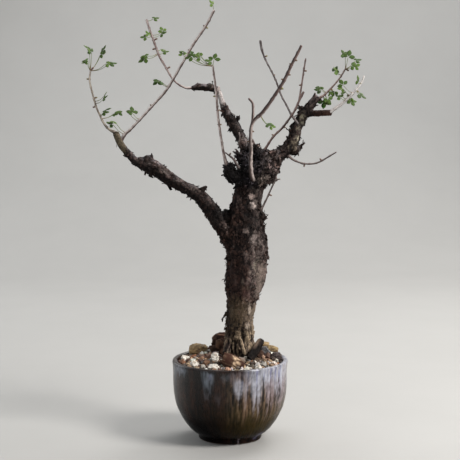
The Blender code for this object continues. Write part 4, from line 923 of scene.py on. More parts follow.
# short broken spurs: root, tip and radius
spurs = [((23, 296, 2), (22, 303, 1), 1.9), ((27, 292, -2), (27.5, 299, -4), 1.6),
         ((12, 284, -4), (7, 291, -7), 1.6), ((68, 294, 8), (72.5, 299, 8), 1.7),
         ((-33, 250, -6), (-23.5, 255.8, -8), 2.6), ((-78, 272, -10), (-79.5, 266.5, -12), 1.8),
         ((-3, 331, 28), (-2.6, 337, 26), 1.8), ((7, 322, 22), (10.2, 325, 20), 1.2),
         ((83, 342, 13), (84.5, 349.5, 12), 1.5), ((-3, 128, -4), (-8.2, 121, -6), 1.3),
         ((-79.6, 285, -10), (-78.2, 288, -10), 2.4), ((-89.5, 283, -12), (-91, 285.2, -12), 1.8),
         ((4, 177, -7), (-4, 184, -9), 2.0),
         ((73, 333, 11), (66.5, 338, 10), 1.5)]
barkLook = {
    "cell": 0.78, "smoothing": 5, "flakes": 1900, "burrFlakes": 620,
    "colours": {
        "dark": (32, 24, 23), "brown": (84, 62, 53), "grey": (140, 122, 117), "crack": (9, 7, 7),
        "olive": (98, 84, 62), "lichen": (142, 136, 124), "pale": (206, 190, 178), "rust": (100, 66, 55),
        "straw": (172, 152, 126), "burrDarkAndShade": (52, 53, 62), "limbTopHighlight": (146, 144, 150),
    },
    # larger flakes at the trunk's edges, as x, z
    "edgeFlakes": [(36, 233), (37, 227), (38, 221), (35, 214), (35, 209), (36, 204), (36, 197), (36, 172),
                   (-18, 358), (-30, 359), (-36, 357), (-4, 334), (-6, 330), (3, 331), (8, 311), (9, 305),
                   (5, 320), (58, 311), (60, 318), (62, 305), (54, 300), (49, 296), (44, 290), (66, 329),
                   (64, 323), (69, 290), (71, 295), (66, 287), (-61, 258), (-50, 251), (-39, 246), (-30, 238),
                   (-20, 223), (-14, 214), (-72, 265), (-90, 272), (-3, 187), (6, 257), (33, 262), (-66, 258),
                   (37, 230), (36, 218), (38, 224)],
}
# patches of the bark: x, z, depth, reach across and along, strength, colour, and how far they lie smooth
barkPatches = [
    (25, 238, -17, 5, 5.5, 1.0, (206, 190, 182), 1.0), (22, 246, -15, 4, 4, 0.9, (184, 164, 156), 0.9),
    (16, 211, -20, 3.4, 3.4, 0.8, (168, 150, 142), 0.8), (24, 203, -18, 5, 6, 0.75, (160, 146, 140), 0.5),
    (48, 285, -6, 4, 5, 0.8, (178, 160, 154), 0.5), (30, 262, -12, 4, 5, 0.6, (150, 132, 118), 0.4),
    (20, 130, -15, 2.2, 7.5, 1.0, (224, 206, 190), 1.0), (18, 114, -15, 2.6, 4, 0.8, (190, 174, 158), 0.8),
    (13, 160, -20, 2, 4, 0.7, (150, 134, 120), 0.6), (13, 153, -20, 2, 3, 0.6, (140, 118, 100), 0.6),
    (18, 153, -19, 1.8, 3, 0.6, (144, 126, 110), 0.6), (20, 169, -20, 2.4, 3, 0.6, (152, 136, 126), 0.6),
    (16, 147, -18, 7, 9, 0.45, (98, 66, 60), 0.7), (27, 176, -15, 6, 12, 0.42, (142, 134, 116), 0.4),
    (30, 160, -10, 6, 26, 0.60, (142, 128, 118), 0.6), (28, 196, -14, 8, 18, 0.62, (140, 126, 120), 0.45),
    (24, 120, -8, 5, 20, 0.60, (142, 128, 110), 0.6), (8, 131, -14, 12, 17, 0.55, (98, 82, 62), 0.6),
    (8, 166, -18, 13, 18, 0.42, (72, 50, 46), 0.5), (72, 325, 2, 4.6, 11, 0.85, (156, 150, 128), 0.3),
    (68, 309, 2, 4.2, 10, 0.80, (154, 146, 128), 0.3), (40, 286, -8, 4, 4, 0.6, (138, 124, 116), 0.3),
    (-32, 254, -10, 9, 4, 0.45, (124, 110, 102), 0.3), (-46, 262, -10, 9, 3, 0.5, (128, 114, 106), 0.3),
    (-8, 346, 30, 5.5, 11, 0.9, (200, 192, 188), 1.0),
    (-110, 301, -11, 9, 17, 0.85, (104, 94, 74), 0.8), (63, 297, 2, 5, 8, 0.6, (150, 138, 116), 0.2),
    (73, 318, 2, 2, 5, 0.9, (188, 182, 162), 0.6), (68.5, 303, 1, 1.8, 5, 0.8, (176, 168, 146), 0.6),
    (12, 100, -16, 6, 12, 0.5, (180, 156, 128), 0.0), (3, 99, -14, 3, 8, 0.4, (150, 128, 104), 0.0),
    (11.7, 278.5, -16, 1.7, 2.6, 0.9, (190, 188, 186), 0.3), (38, 293, 0, 3, 2, 0.8, (190, 182, 174), 0.3),
    (92, 330, 5, 12, 6, 0.70, (84, 54, 44), 0.5),
    (-60, 272, -12, 16, 5, 0.35, (132, 120, 110), 0.4), (-2, 330, 27, 4, 5, 0.5, (120, 112, 112), 0.4),
    (33, 264, -12, 8, 6, 0.95, (172, 156, 146), 0.5), (-84, 283, -10, 11, 7, 0.0, (60, 54, 52), 0.75),
]

# broad areas of the bark painted darker where shade falls on them, a painted shade: x, z, reach across and
# along, and how dark
barkShades = [
    (-9, 230, 12, 11, 0.90), (-30, 246, 24, 15, 0.50), (-58, 266, 24, 20, 0.40), (-92, 284, 18, 16, 0.45),
    (2, 267, 12, 14, 0.92), (20, 276, 16, 14, 0.42), (42, 286, 14, 14, 0.18), (60, 302, 14, 17, 0.46),
    (73, 326, 14, 13, 0.42), (82, 340, 10, 10, 0.35), (6, 318, 16, 17, 0.70), (31, 224, 23, 38, 0.66),
    (29, 288, 8, 6, 0.45), (10, 271, 7, 8, 0.40),
]

# lengthwise ridges: radius (0.20 n(p) + 0.10 n(2.6 p)), with n a noise and p = (1.7 cos a, 1.7 sin a, s / 26)
def stemRidges(angle, along, radius):
    round = stacked(np.cos(angle) * 1.7, np.sin(angle) * 1.7, along / 26)
    return radius * (0.20 * noiseAt(round + 3.1, 81) + 0.10 * noiseAt(round * 2.6 + 9.4, 82))

# overlapping closed shapes as one skin: a voxel remesh and a light smoothing, both applied
def melted(shape, cell, smoothing):
    item = placed("melt", meshOf("melt", shape))
    remesh = item.modifiers.new("skin", "REMESH")
    remesh.mode = "VOXEL"
    remesh.voxel_size = cell * metre
    soften = item.modifiers.new("soften", "SMOOTH")
    soften.factor = 0.5
    soften.iterations = smoothing
    skin = appliedMesh(item)
    points = np.empty(len(skin.vertices) * 3)
    normals = points.copy()
    corners = np.empty(len(skin.loops), int)
    skin.vertices.foreach_get("co", points)
    skin.vertices.foreach_get("normal", normals)
    skin.loops.foreach_get("vertex_index", corners)
    bpy.data.objects.remove(item, do_unlink=True)
    return points.reshape(-1, 3) / metre, normals.reshape(-1, 3), corners.reshape(-1, 4)

# each point's place on the stem that is nearest in stem radii: two offsets across it and the length
# along it, with the stem's direction there and its radius
def stemPlace(points, stems):
    best = np.full(len(points), 1e9)
    flow, lead, girth = np.zeros(points.shape), np.zeros(points.shape), np.ones(len(points))
    for number, route in enumerate(stems):
        tangent, across, beside = routeFrame(route[:, :3])
        arc = arcLength(route)
        gap = np.linalg.norm(points[:, None] - route[None, :, :3], axis=-1) / route[:, 3]
        index = gap.argmin(1)
        gap = gap[np.arange(len(points)), index]
        away = points - route[index, :3]
        own = stacked((away * across[index]).sum(1), (away * beside[index]).sum(1),
                      arc[index] + (away * tangent[index]).sum(1) + number * 400)
        nearer = gap < best
        for kept, found in ((flow, own), (lead, tangent[index]), (girth, route[index, 3])):
            kept[nearer] = found[nearer]
        best = np.minimum(best, gap)
    return flow, lead, girth

# The bark's relief in millimetres and its colour. Scales are cells, raised inside their edges and tipped like
# shingles along the stem; cracks follow the zero lines of noise; pits are the hearts of a few cells; and the
# trunk's foot has ribs, noise that is slow along the stem.
def barkAt(points, normals, flow, girth):
    east, _, up = points.T
    drift = 1.4 * stacked(*[noiseAt(points / 5 + shift, 91) for shift in (0, 17, 41)])
    grown = flow + drift
    near, second, offset, mark = cellsAt(grown / [3.9, 3.9, 4.8], 92)
    plate = ease(0.02, 0.17, second - near)
    near, second, _, fineMark = cellsAt(grown / [1.7, 1.7, 2.0], 93)
    finePlate = ease(0.03, 0.24, second - near)
    crack = ease(0.0, 0.12, np.abs(noiseAt(grown / [4.4, 4.4, 9], 94)))
    wide, rough = layered(points / 15, 3, 95), layered(points / 1.1, 3, 97)
    limb = ease(13, 9, girth)
    # lean and lit: how far a point faces the key light at the upper right, and for the thin limbs also
    # upwards. The lit side is painted greyer and paler below, with more lichen and pale spots: painted light,
    # partly sun-bleached bark
    lean = normals[:, 0] * (0.85 - 0.45 * limb) - normals[:, 1] * 0.20 + normals[:, 2] * 0.55 * limb
    lit = ease(-0.1, 0.95, lean + 0.45 * wide)
    burr = ease(250, 262, up) * ease(30, 16, np.hypot(east - 22, up - 274))
    burr = np.maximum(burr, ease(15, 10, np.hypot(east - 1, up - 268)))
    foot = ease(120, 102, up - 0.35 * (east - 10))
    ribs = noiseAt((flow + drift * 0.6) / [2.5, 2.5, 13], 104)
    mottle = ease(-0.30, 0.30, layered(points / 2.6, 2, 106))
    ragged = 0.45 * noiseAt(points / 2.2, 96)
    calm, patches = np.zeros(len(points)), []
    for x, z, depth, across, along, strength, colour, smooth in barkPatches:
        away = points - seenAt([(x, z, depth)])
        flat = (away[:, 0] / across) ** 2 + (away[:, 1] / (across + 4)) ** 2
        near = np.sqrt(flat + (away[:, 2] / along) ** 2)
        share = 1 - ease(0.55, 1.15, near + ragged)
        patches.append((share * strength * (1 if smooth > 0.45 else mottle), paint(*colour)))
        calm = np.maximum(calm, share * smooth)
    scaly = np.clip(ease(-0.45, 0.35, -wide + 0.35 - 0.5 * lit) + burr, 0.15, 1.2) * (1 - 0.92 * calm)
    pitNear, _, _, pitMark = cellsAt(points / 3.0, 102)
    pits = (1 - ease(0.16, 0.38, pitNear)) * (pitMark > 0.66) * (0.35 + 0.65 * lit)
    size = np.clip(girth / 9.5, 0.42, 1)
    raised = plate * (0.25 + 0.85 * mark) * (0.75 + 0.9 * offset[:, 2])
    relief = size * scaly * (1.55 * raised + 0.60 * finePlate * fineMark - 0.75)
    relief = relief + size * (0.55 * (crack - 0.8) * (1 - calm) + 0.6 * wide - 0.70 * pits) + 0.20 * rough
    relief = relief + calm * 0.06 * np.sin(flow[:, 2] * 3.1 + 4 * noiseAt(points / 4, 101))
    relief = relief + burr * layered(points / 3.2, 2, 98) + foot * (2.1 * ribs + 0.3)
    tone = 0.60 * mark ** 2 * plate + 0.45 * fineMark ** 2 * finePlate + 0.45 * rough
    rusty = (mark * 7 % 1 > 0.74) * plate
    greyed = 0.12 + 0.75 * rough + 0.60 * mark * plate + 0.30 * fineMark * finePlate + 0.2 * calm
    # the burr is painted blue-black, most on its left: partly its own dark bark, partly painted shade
    burrDarkAndShade = burr * ease(46, 22, east) * (0.9 - 0.5 * rough)
    low = ease(156, 128, up) * ease(96, 106, up)
    moss = ease(0.15, 0.6, layered(points / 4.2 + 60, 3, 99)) * lit
    spotNear, _, _, spotMark = cellsAt(points / 3.3, 100)
    spots = (1 - ease(0.16, 0.34, spotNear)) * (spotMark > 0.76)
    light = paints(barkLook)
    colour = laid(light["dark"], light, [
        ("brown", np.clip(tone, 0, 1)),
        ("rust", 0.40 * rusty * (0.5 + rough)),
        ("grey", np.clip(lit * greyed, 0, 0.9)),
        ("burrDarkAndShade", np.clip(burrDarkAndShade, 0, 0.85)),
        ("olive", 0.60 * low * (0.45 + 0.5 * mark + 0.3 * rough)),
        ("lichen", 0.40 * moss),
        ("pale", 0.50 * spots * (0.25 + 0.75 * lit) * (1 - burr)),
        # painted highlight: the upper sides of the thin limbs are painted pale blue-grey
        ("limbTopHighlight", 0.5 * limb * ease(0.25, 0.85, normals[:, 2]) * mottle)])
    shade = np.ones(len(points))
    for x, z, across, along, dark in barkShades:
        near = np.hypot((east - x) / across, (up - z) / along)
        shade = shade * (1 - dark * ease(1.25, 0.60, near + 0.25 * wide))
    # painted shade: the undersides of the thin limbs are darker
    shade = shade * (1 - 0.60 * limb * ease(0.10, -0.60, normals[:, 2]))
    colour = colour * shade[:, None]
    for share, patch in patches:
        colour = blend(colour, patch, np.clip(share * (0.85 + 0.35 * rough), 0, 1))
    straw = foot * ease(-0.12, 0.22, ribs + 0.35 * rough) * (0.42 + 0.42 * ease(-8, 16, east))
    # deep: cracks, gaps between the scales, pits and the grooves between the foot's ribs are painted near
    # black, the bark's own dark fissures with painted shade in them
    deep = (1 - plate * 0.9) * scaly + 0.9 * (1 - crack) * (1 - calm) + 0.5 * (1 - finePlate) * scaly + pits
    deep = deep * (1 - 0.88 * foot) + foot * ease(-0.05, -0.32, ribs)
    colour = laid(colour, light, [("straw", straw), ("crack", np.clip(deep, 0, 1) * 0.85)])
    return relief, colour, scaly, burr, shade

# Curling flakes of bark. With a from root to tip and b across, a flake's point is root + along L (a - 0.2)
# + across W b w(a) + outward (lift a^1.6 - 0.6 (1 - a)^2 + curl b^2 a), and half its thickness either way.
def flakesOn(points, normals, lead, colour, chosen, rng, long, lift):
    count, rows, columns = len(chosen), 4, 3
    outward = unit(normals[chosen] + 0.25 * rng.normal(size=(count, 3)))
    ahead = lead[chosen] * rng.choice([-1, -1, 1], count)[:, None] + 0.55 * rng.normal(size=(count, 3))
    along = unit(ahead - outward * (ahead * outward).sum(1, keepdims=True))
    across = np.cross(along, outward)
    outward, along, across = (direction[:, None, None] for direction in (outward, along, across))
    length = rng.uniform(*long, (count, 1, 1))
    width = length * rng.uniform(0.50, 0.95, (count, 1, 1))
    a = np.linspace(0, 1, rows)[None, :, None] * np.ones((count, 1, columns))
    b = np.linspace(-1, 1, columns)[None, None] * np.ones((count, rows, 1))
    ragged = 1 + 0.55 * (rng.random((count, rows, columns)) - 0.5)
    narrow = (1 - 0.38 * a ** 2) * ragged
    high = lift[0] + (lift[1] - lift[0]) * rng.random((count, 1, 1)) ** 1.5
    rise = high * a ** 1.6 - 0.6 * (1 - a) ** 2
    rise = rise + rng.uniform(-0.25, 0.45, (count, 1, 1)) * b ** 2 * a * width * 0.5
    middle = points[chosen][:, None, None] + along * (length * (a * ragged - 0.2))[..., None]
    middle = middle + across * (width / 2 * b * narrow)[..., None] + outward * rise[..., None]
    half = (0.26 * (1 - 0.45 * a))[..., None] * outward
    sheet = np.stack([middle + half, middle - half], 1).reshape(-1, 3)
    start = (np.arange(count) * rows * columns * 2)[:, None, None]
    quads = (sheetFaces(rows, columns) + start).reshape(-1, 4)
    shade = (0.40 + 1.35 * rng.random(count) ** 2)[:, None, None]
    # each flake is painted lighter towards its lifted tip, a painted highlight where light catches it
    edge = np.concatenate([a, a], 1).reshape(count, -1, 1)
    tint = colour[chosen][:, None] * shade * (0.75 + 0.45 * edge)
    return shapeOf(sheet, quads, (), tint.reshape(-1, 3))

# The stem, limbs, knots and spurs melted into one skin, moved along its normals by the bark's relief. Loose
# flakes grow where the bark is scaly, thickly on the burr, and larger along the edges.
def makeTrunk():
    stems = [routeThrough(trunkRoute, 4)] + [routeThrough(route, 3) for route in limbRoutes.values()]
    shapes = [sweep(stems[0], 48, 0.25, stemRidges)]
    for name, stem in zip(limbRoutes, stems[1:]):
        shapes.append(sweep(stem, 28, 0.25 if name == "rightStub" else 0.5, stemRidges))
    ball, quads = ballGrid(12)
    for number, (x, z, depth, radius) in enumerate(knots):
        lump = ball * radius * (1 + 0.16 * noiseAt(ball * 1.6 + number * 5.1, 83))[:, None]
        shapes.append(shapeOf(lump + seenAt([(x, z, depth)]), quads))
    for root, tip, radius in spurs:
        start, end = seenAt([root, tip])
        middle = start + (end - start) * 0.55
        route = [[*start, radius * 1.2], [*middle, radius], [*end, radius * 0.55]]
        shapes.append(sweep(curveThrough(np.array(route), 1), 12))
    points, normals, faces = melted(joined(shapes), barkLook["cell"], barkLook["smoothing"])
    flow, lead, girth = stemPlace(points, stems)
    relief, colour, scaly, burr, shade = barkAt(points, normals, flow, girth)
    skin = points + normals * relief[:, None]
    bark = makeFinish("oldBark", {
        "speckSize": 1.3, "speckShare": 0.45, "speck": paint(30, 24, 23), "grainSize": 0.7,
        "grainShare": 0.50, "rough": (0.78, 1.0), "bump": 1.0, "bumpDepth": 0.7, "stretch": (1, 1, 0.8),
        "shader": {"Specular IOR Level": 0.18}})
    putPiece("oldTrunk", shapeOf(skin, faces, (), colour, flow), [bark], ["trunk"], 90)
    # the flakes take the colour of the bark where they grow, with its painted shade
    brown = paints(barkLook)["brown"] * (0.4 * (1 - 0.8 * burr) * shade)[:, None]
    scrap = colour * (0.6 + 0.3 * burr)[:, None] + brown
    rng = np.random.default_rng(5)
    above = points[:, 2] > 90
    scales = np.where(above, np.clip(scaly, 0.02, 1) ** 2 * np.clip(girth / 9, 0.25, 1), 0)
    scales = scales * (0.35 + 0.65 * ease(125, 165, points[:, 2]))
    scraps = []
    for count, weight, long, lift in ((barkLook["flakes"], scales, (1.8, 4.6), (0.2, 1.5)),
                                      (barkLook["burrFlakes"], burr * above, (2.4, 5.5), (0.7, 2.8))):
        chosen = rng.choice(len(points), count, False, weight / weight.sum())
        scraps.append(flakesOn(skin, normals, lead, scrap, chosen, rng, long, lift))
    chosen = [np.argmin(np.hypot(skin[:, 0] - x, skin[:, 2] - z) + 0.2 * np.abs(skin[:, 1] + 4))
              for x, z in barkLook["edgeFlakes"]]
    scraps.append(flakesOn(skin, normals, lead, scrap, np.array(chosen), rng, (3.2, 5.6), (1.0, 2.4)))
    putPiece("barkFlakes", joined(scraps), [bark], ["trunk"], 50)
    print("trunk:", len(faces), "faces and", barkLook["flakes"] + barkLook["burrFlakes"], "flakes")

# The young shoots

# Each shoot's route, its fork, its buds as x, z, and its leaves as hub x, z, depth, lean in degrees and
# leaflet length, all as the solids have them, with the colour of its bark and of its blotches.
shoots = {
    "shoot_far_left": dict(
        route=[(-113.5, 309.5, -8, 1.9), (-120, 313, -7, 1.3), (-125, 318, -6, 1.1), (-129, 326, -4, 1),
               (-133, 335, -2, 1), (-135.5, 344, 0, 1), (-138, 354, 3, 0.95), (-139.5, 362, 6, 0.9),
               (-138.5, 371, 9, 0.9)],
        buds=[(-136.5, 335), (-132, 345), (-142, 363), (-135, 375)],
        leaves=[(-139.5, 392, 4, 120, 6), (-142.5, 381.5, 12, 190, 5), (-126.5, 390, 14, 75, 6),
                (-119, 378, 5, 20, 6), (-126, 343, -9, 60, 5), (-124, 332, -11, 40, 6),
                (-115, 329, 1, 30, 6)],
        bark=((88, 78, 62), (140, 132, 108))),
    "shoot_long_left": dict(
        route=[(-108, 303, -9, 2), (-105, 308, -10, 1.7), (-99, 313.5, -11, 1.4), (-87.5, 325.5, -13, 1.35),
               (-75.5, 338.5, -14, 1.3), (-63, 352.5, -15, 1.3), (-49, 375.5, -17, 1.25),
               (-36, 397.5, -19, 1.25), (-24, 415, -21, 1.25), (-16, 430, -23, 1.3)],
        buds=[(-22, 413), (-79, 337.5), (-56, 362), (-41, 391.5), (-26, 415.5)],
        leaves=[(-97, 329.5, -16, 95, 6), (-68, 360, -20, 160, 6.5), (-17, 436, -24, 110, 4.5),
                (-117, 318, -14, 140, 5.5)],
        bark=((98, 80, 76), (166, 152, 146))),
    "shoot_middle_left": dict(
        route=[(-36, 354, 37.5, 1.4), (-46, 355, 38, 1), (-56, 362, 37, 0.9), (-64, 375, 37, 1.1),
               (-70.5, 386.5, 37, 1.2), (-75, 399, 38, 1.2), (-79, 410, 39, 1.2), (-82.5, 421, 40, 1.15)],
        buds=[(-59, 375), (-77, 392), (-71.5, 403)],
        leaves=[(-75.5, 422, 40, 30, 5), (-83, 404, 34, 170, 5), (-68, 407, 44, 40, 5.5),
                (-84, 383, 31, 215, 6.5), (-66, 389, 43, 30, 5)],
        bark=((94, 74, 70), (158, 142, 136))),
    "shoot_centre": dict(
        route=[(-2.8, 274, -15.5, 2.2), (-6.5, 290, -20, 1.35), (-8.5, 302, -23, 1.25), (-11, 318, -26, 1.2),
               (-12.5, 332, -28, 1.15), (-13.5, 346, -31, 1.1), (-15, 360, -33, 1.05), (-17, 375.5, -36, 1)],
        buds=[(-9, 318), (-16.5, 346), (-11, 332)],
        leaves=[(-16, 382, -37, 80, 6), (-29, 384.5, -30, 150, 5.5), (-37.5, 385, -42, 190, 6),
                (-45, 389.5, -34, 160, 5)],
        bark=((96, 80, 76), (172, 160, 154))),
    "shoot_tall_right": dict(
        route=[(24, 261, -8, 2.8), (21.5, 267, -18, 2.3), (20.5, 279, -21, 2), (21, 293, -24, 1.8),
               (20.5, 306, -27, 1.7), (22.5, 320, -29, 1.6), (31.5, 329, -32, 1.75), (38.5, 338, -34, 1.7),
               (45.5, 348.5, -37, 1.65), (51, 357, -39, 1.6), (56, 366, -41, 1.55), (60.5, 376, -43, 1.45),
               (65.5, 385.5, -45, 1.4), (70.5, 395.5, -47, 1.25)],
        fork=[(22.3, 318, -28.7, 1.5), (23, 331, -30, 1.3), (22.5, 339, -30, 1.2), (19, 343.5, -29, 1.1)],
        buds=[(37, 334), (51, 363), (53, 353), (60, 367), (59.5, 378), (66.5, 381), (17, 301), (24, 311)],
        leaves=[(37, 318, -36, 0, 5.5)],
        paleBelow=335, sun=(0.8, -0.35, 0.3), bark=((66, 46, 42), (100, 80, 74))),
    "shoot_forked": dict(
        route=[(33, 290, 6, 1.4), (42.5, 305, 8, 1.1), (52, 314.5, 8, 1.1), (60, 325, 1, 1.1),
               (64.5, 332, 0, 1.1), (69, 342, 2, 1.1), (73, 350, 3, 1.2)],
        fork=[(68.6, 341, 1.9, 1.05), (71, 356, 5, 0.85), (73, 370, 7, 0.8), (75, 383, 8, 0.65)],
        buds=[(42, 308), (55, 315), (69, 357), (76, 371)],
        bark=((64, 42, 38), (104, 80, 72))),
    "shoot_crossing": dict(
        route=[(67.5, 319, 6.5, 1.5), (60.5, 329, 8, 1), (56, 337.5, 8, 0.95), (50, 349, 8, 0.9),
               (46, 360.5, 7, 0.85), (41, 371, 6, 0.85), (35, 382.5, 5, 0.85), (31.5, 392, 4, 1.15),
               (30, 400.5, 3, 1.2)],
        buds=[(44, 367), (51, 353), (37, 386)],
        bark=((56, 50, 50), (104, 98, 96))),
    "shoot_drooping": dict(
        route=[(56.5, 289.5, 4, 1.5), (61, 284.5, 1, 1.2), (66, 281.5, -1, 0.95), (74.5, 279, -5, 0.85),
               (83.5, 279, -9, 0.8), (90, 281, -12, 0.8), (97, 285, -15, 0.75), (106, 290.5, -19, 0.65)],
        buds=[(74, 276), (90, 284)],
        bark=((60, 48, 44), (104, 90, 84))),
    "shoot_low_right": dict(
        route=[(29, 229, -3, 1.6), (34.5, 239, -4, 0.95), (40, 251, -5, 0.8), (44, 259.5, -6, 0.75),
               (46.5, 263, -7, 0.7), (50, 263.5, -8, 0.7)],
        buds=[(42, 247)],
        bark=((66, 56, 52), (110, 98, 92))),
    "shoot_burr_left": dict(
        route=[(11, 270, -10, 1.6), (6, 279.5, -8, 1.3), (3.5, 283.5, -6, 1.1), (0, 286.5, -3, 0.85),
               (-4.5, 290, 0, 0.7)],
        buds=[(0.5, 289.5)],
        bark=((50, 38, 36), (88, 72, 68))),
    "shoot_burr_top": dict(
        route=[(13, 291, 11, 1.3), (9.5, 297.5, 5, 0.95), (10, 305, 4, 0.8), (9, 310, 5, 0.65)],
        bark=((60, 46, 42), (100, 84, 78))),
    "shoot_right_end": dict(
        route=[(84.5, 342.5, 14, 1.7), (92, 346, 15, 1.15), (98.5, 352, 17, 0.9), (105, 359, 19, 0.8),
               (110, 365.5, 21, 0.75), (114.5, 373, 23, 0.7)],
        buds=[(102, 352), (118, 371)],
        leaves=[(117, 384.5, 22, 80, 6.5), (126, 381, 28, 30, 5.5), (120.5, 376, 16, 10, 5.5),
                (107, 369, 26, 110, 6), (90.5, 352, 22, 160, 6), (104, 350.5, 10, 250, 5),
                (94, 341, 24, 262, 6.5), (97, 344, 20, 285, 6)],
        bark=((72, 50, 42), (108, 86, 76))),
    "shoot_right_pale": dict(
        route=[(99.5, 330, 3.5, 1.7), (111, 338.4, 0, 1.5), (119, 345.8, -4, 1.4), (126, 353, -7, 1.2),
               (130.9, 360, -9, 0.95), (133.0, 365.8, -10, 0.7)],
        buds=[(117, 347.5), (128, 350)],
        leaves=[(112.5, 357, -9, 110, 5.5), (110, 344.5, -7, 130, 5), (127, 360, -16, 90, 6),
                (130.5, 348, -14, 320, 6.5), (120.5, 341.5, 3, 290, 5.5)],
        bark=((238, 234, 230), (252, 250, 248))),
}
# the side that the light comes from, and the colours of sunlit bark, buds and leaf stalks
shootLook = {
    "sun": (-0.75, -0.35, 0.70),
    "colours": {"sunlit": (230, 218, 212), "bud": (92, 66, 54), "freshBud": (120, 126, 66),
                "stalk": (116, 92, 68), "stalkTip": (96, 116, 58)},
}
leafLook = {
    "growth": 1.24, "partner": (3.4, 0.85), "start": 0.10,
    "rows": 15, "columns": 9, "thickness": 0.20, "turns": (0, 72, -72), "sideShare": 0.88, "tongue": 0.30,
    "teeth": 4.5, "toothDepth": 0.07, "partnerBelow": 420, "partnerLeftOf": 124,
    "colours": {"young": (86, 110, 36), "green": (36, 58, 18), "deep": (15, 28, 9), "edge": (102, 106, 52)},
}

# Swellings at the leaf scars of a shoot: the sum of h exp(-(s - s0)^2) (0.35 + 0.65 (1 + cos(a - a0)) / 2),
# with a fine unevenness.
def scarRelief(length, rng):
    places = np.arange(rng.uniform(4, 8), length, 7.5)
    places = places + rng.uniform(-1.5, 1.5, len(places))
    turns = np.arange(len(places)) * 2.4 + rng.uniform(0, 6)
    heights = rng.uniform(0.25, 0.60, len(places))

    def relief(angle, along, radius):
        gap = along[..., None] - places
        turned = 0.5 + 0.5 * np.cos(angle[..., None] - turns)
        swelling = (heights * np.exp(-gap ** 2) * (0.35 + 0.65 * turned)).sum(-1)
        round = stacked(np.cos(angle) * 1.3, np.sin(angle) * 1.3, along / 3.5)
        return swelling * np.minimum(1, radius / 0.9) + radius * 0.10 * noiseAt(round + length, 111)
    return relief

# a stem of a shoot, coloured by blotches that follow it, paler where the sun falls, darker in its shade
def shootStem(route, sides, look, paleBelow, sun, rng):
    samples = routeThrough(route, 1.1)
    length = float(np.linalg.norm(np.diff(samples[:, :3], axis=0), axis=1).sum())
    shape = sweep(samples, sides, 0.8, scarRelief(length, rng))
    base, blotch = look
    rings = shape["points"][:-2].reshape(-1, sides, 3)
    sunny = (unit(rings - rings.mean(1, keepdims=True)) @ unit(np.array(sun))).ravel()
    sunny = np.concatenate([sunny, [0, 0]])
    cloud = layered(shape["flow"] / [1.4, 1.4, 5.5] + length, 3, 112)
    share = ease(-0.10, 0.50, cloud + 0.45 * sunny)
    lines = ease(0.25, 0.5, noiseAt(shape["flow"] / [1.5, 1.5, 0.8] + length, 113))
    tint = blend(paint(*base), paint(*blotch), share * 0.85)
    # below paleBelow the side facing the sun is painted pale at least this strongly: painted light
    lower = 0.55 * ease(12, -12, shape["points"][:, 2] - paleBelow)
    pale = np.maximum(min(1, (np.mean(blotch) / 160) ** 4), lower)
    tint = blend(tint, paints(shootLook)["sunlit"], 0.92 * ease(0.15, 0.75, sunny + 0.4 * cloud) * pale)
    shadow = 0.80 if np.mean(base) < 150 else 0.42
    tint = tint * (1 - 0.45 * shadow * lines)[:, None] * (1 - shadow * ease(0.35, -0.45, sunny))[:, None]
    girth = np.hypot(shape["flow"][:, 0], shape["flow"][:, 1])
    shape["tint"] = tint * (1.08 - 0.16 * ease(1.1, 1.9, girth))[:, None]
    return samples, shape

# a pointed bud from the nearest sample of the shoot to its tip, with the rings of its scales
def budShape(samples, tipX, tipZ, look, rng):
    index = np.argmin((samples[:, 0] - tipX) ** 2 + (samples[:, 2] - tipZ) ** 2)
    tip = seenAt([(tipX, tipZ, samples[index, 1])])[0]
    index = 1 + np.argmin(np.linalg.norm(samples[1:, :3] - tip, axis=1))
    base, radius = samples[index, :3], samples[index, 3]
    step = tip - base
    route = np.array([[*base, radius * 0.9], [*(base + step * 0.35), max(0.75, radius * 0.7)],
                      [*(base + step * 0.55), max(0.95, radius * 0.8)], [*(base + step * 0.72), 0.85]])
    shape = sweep(curveThrough(route, 0.5), 10, 1.5,
                  lambda angle, along, girth: girth * 0.10 * np.sin(along * 4.4 + 1.2 * np.cos(angle * 2)))
    along = shape["flow"][:, 2] / max(1.0, float(np.linalg.norm(step)))
    light = paints(shootLook)
    tint = blend(paint(*look[0]) * 0.7, light["bud"], ease(0.3, 0.7, along))
    fresh = 0.6 if rng.random() < 0.30 else 0.10
    shape["tint"] = blend(tint, light["freshBud"], fresh * ease(0.75, 1.05, along))
    return shape

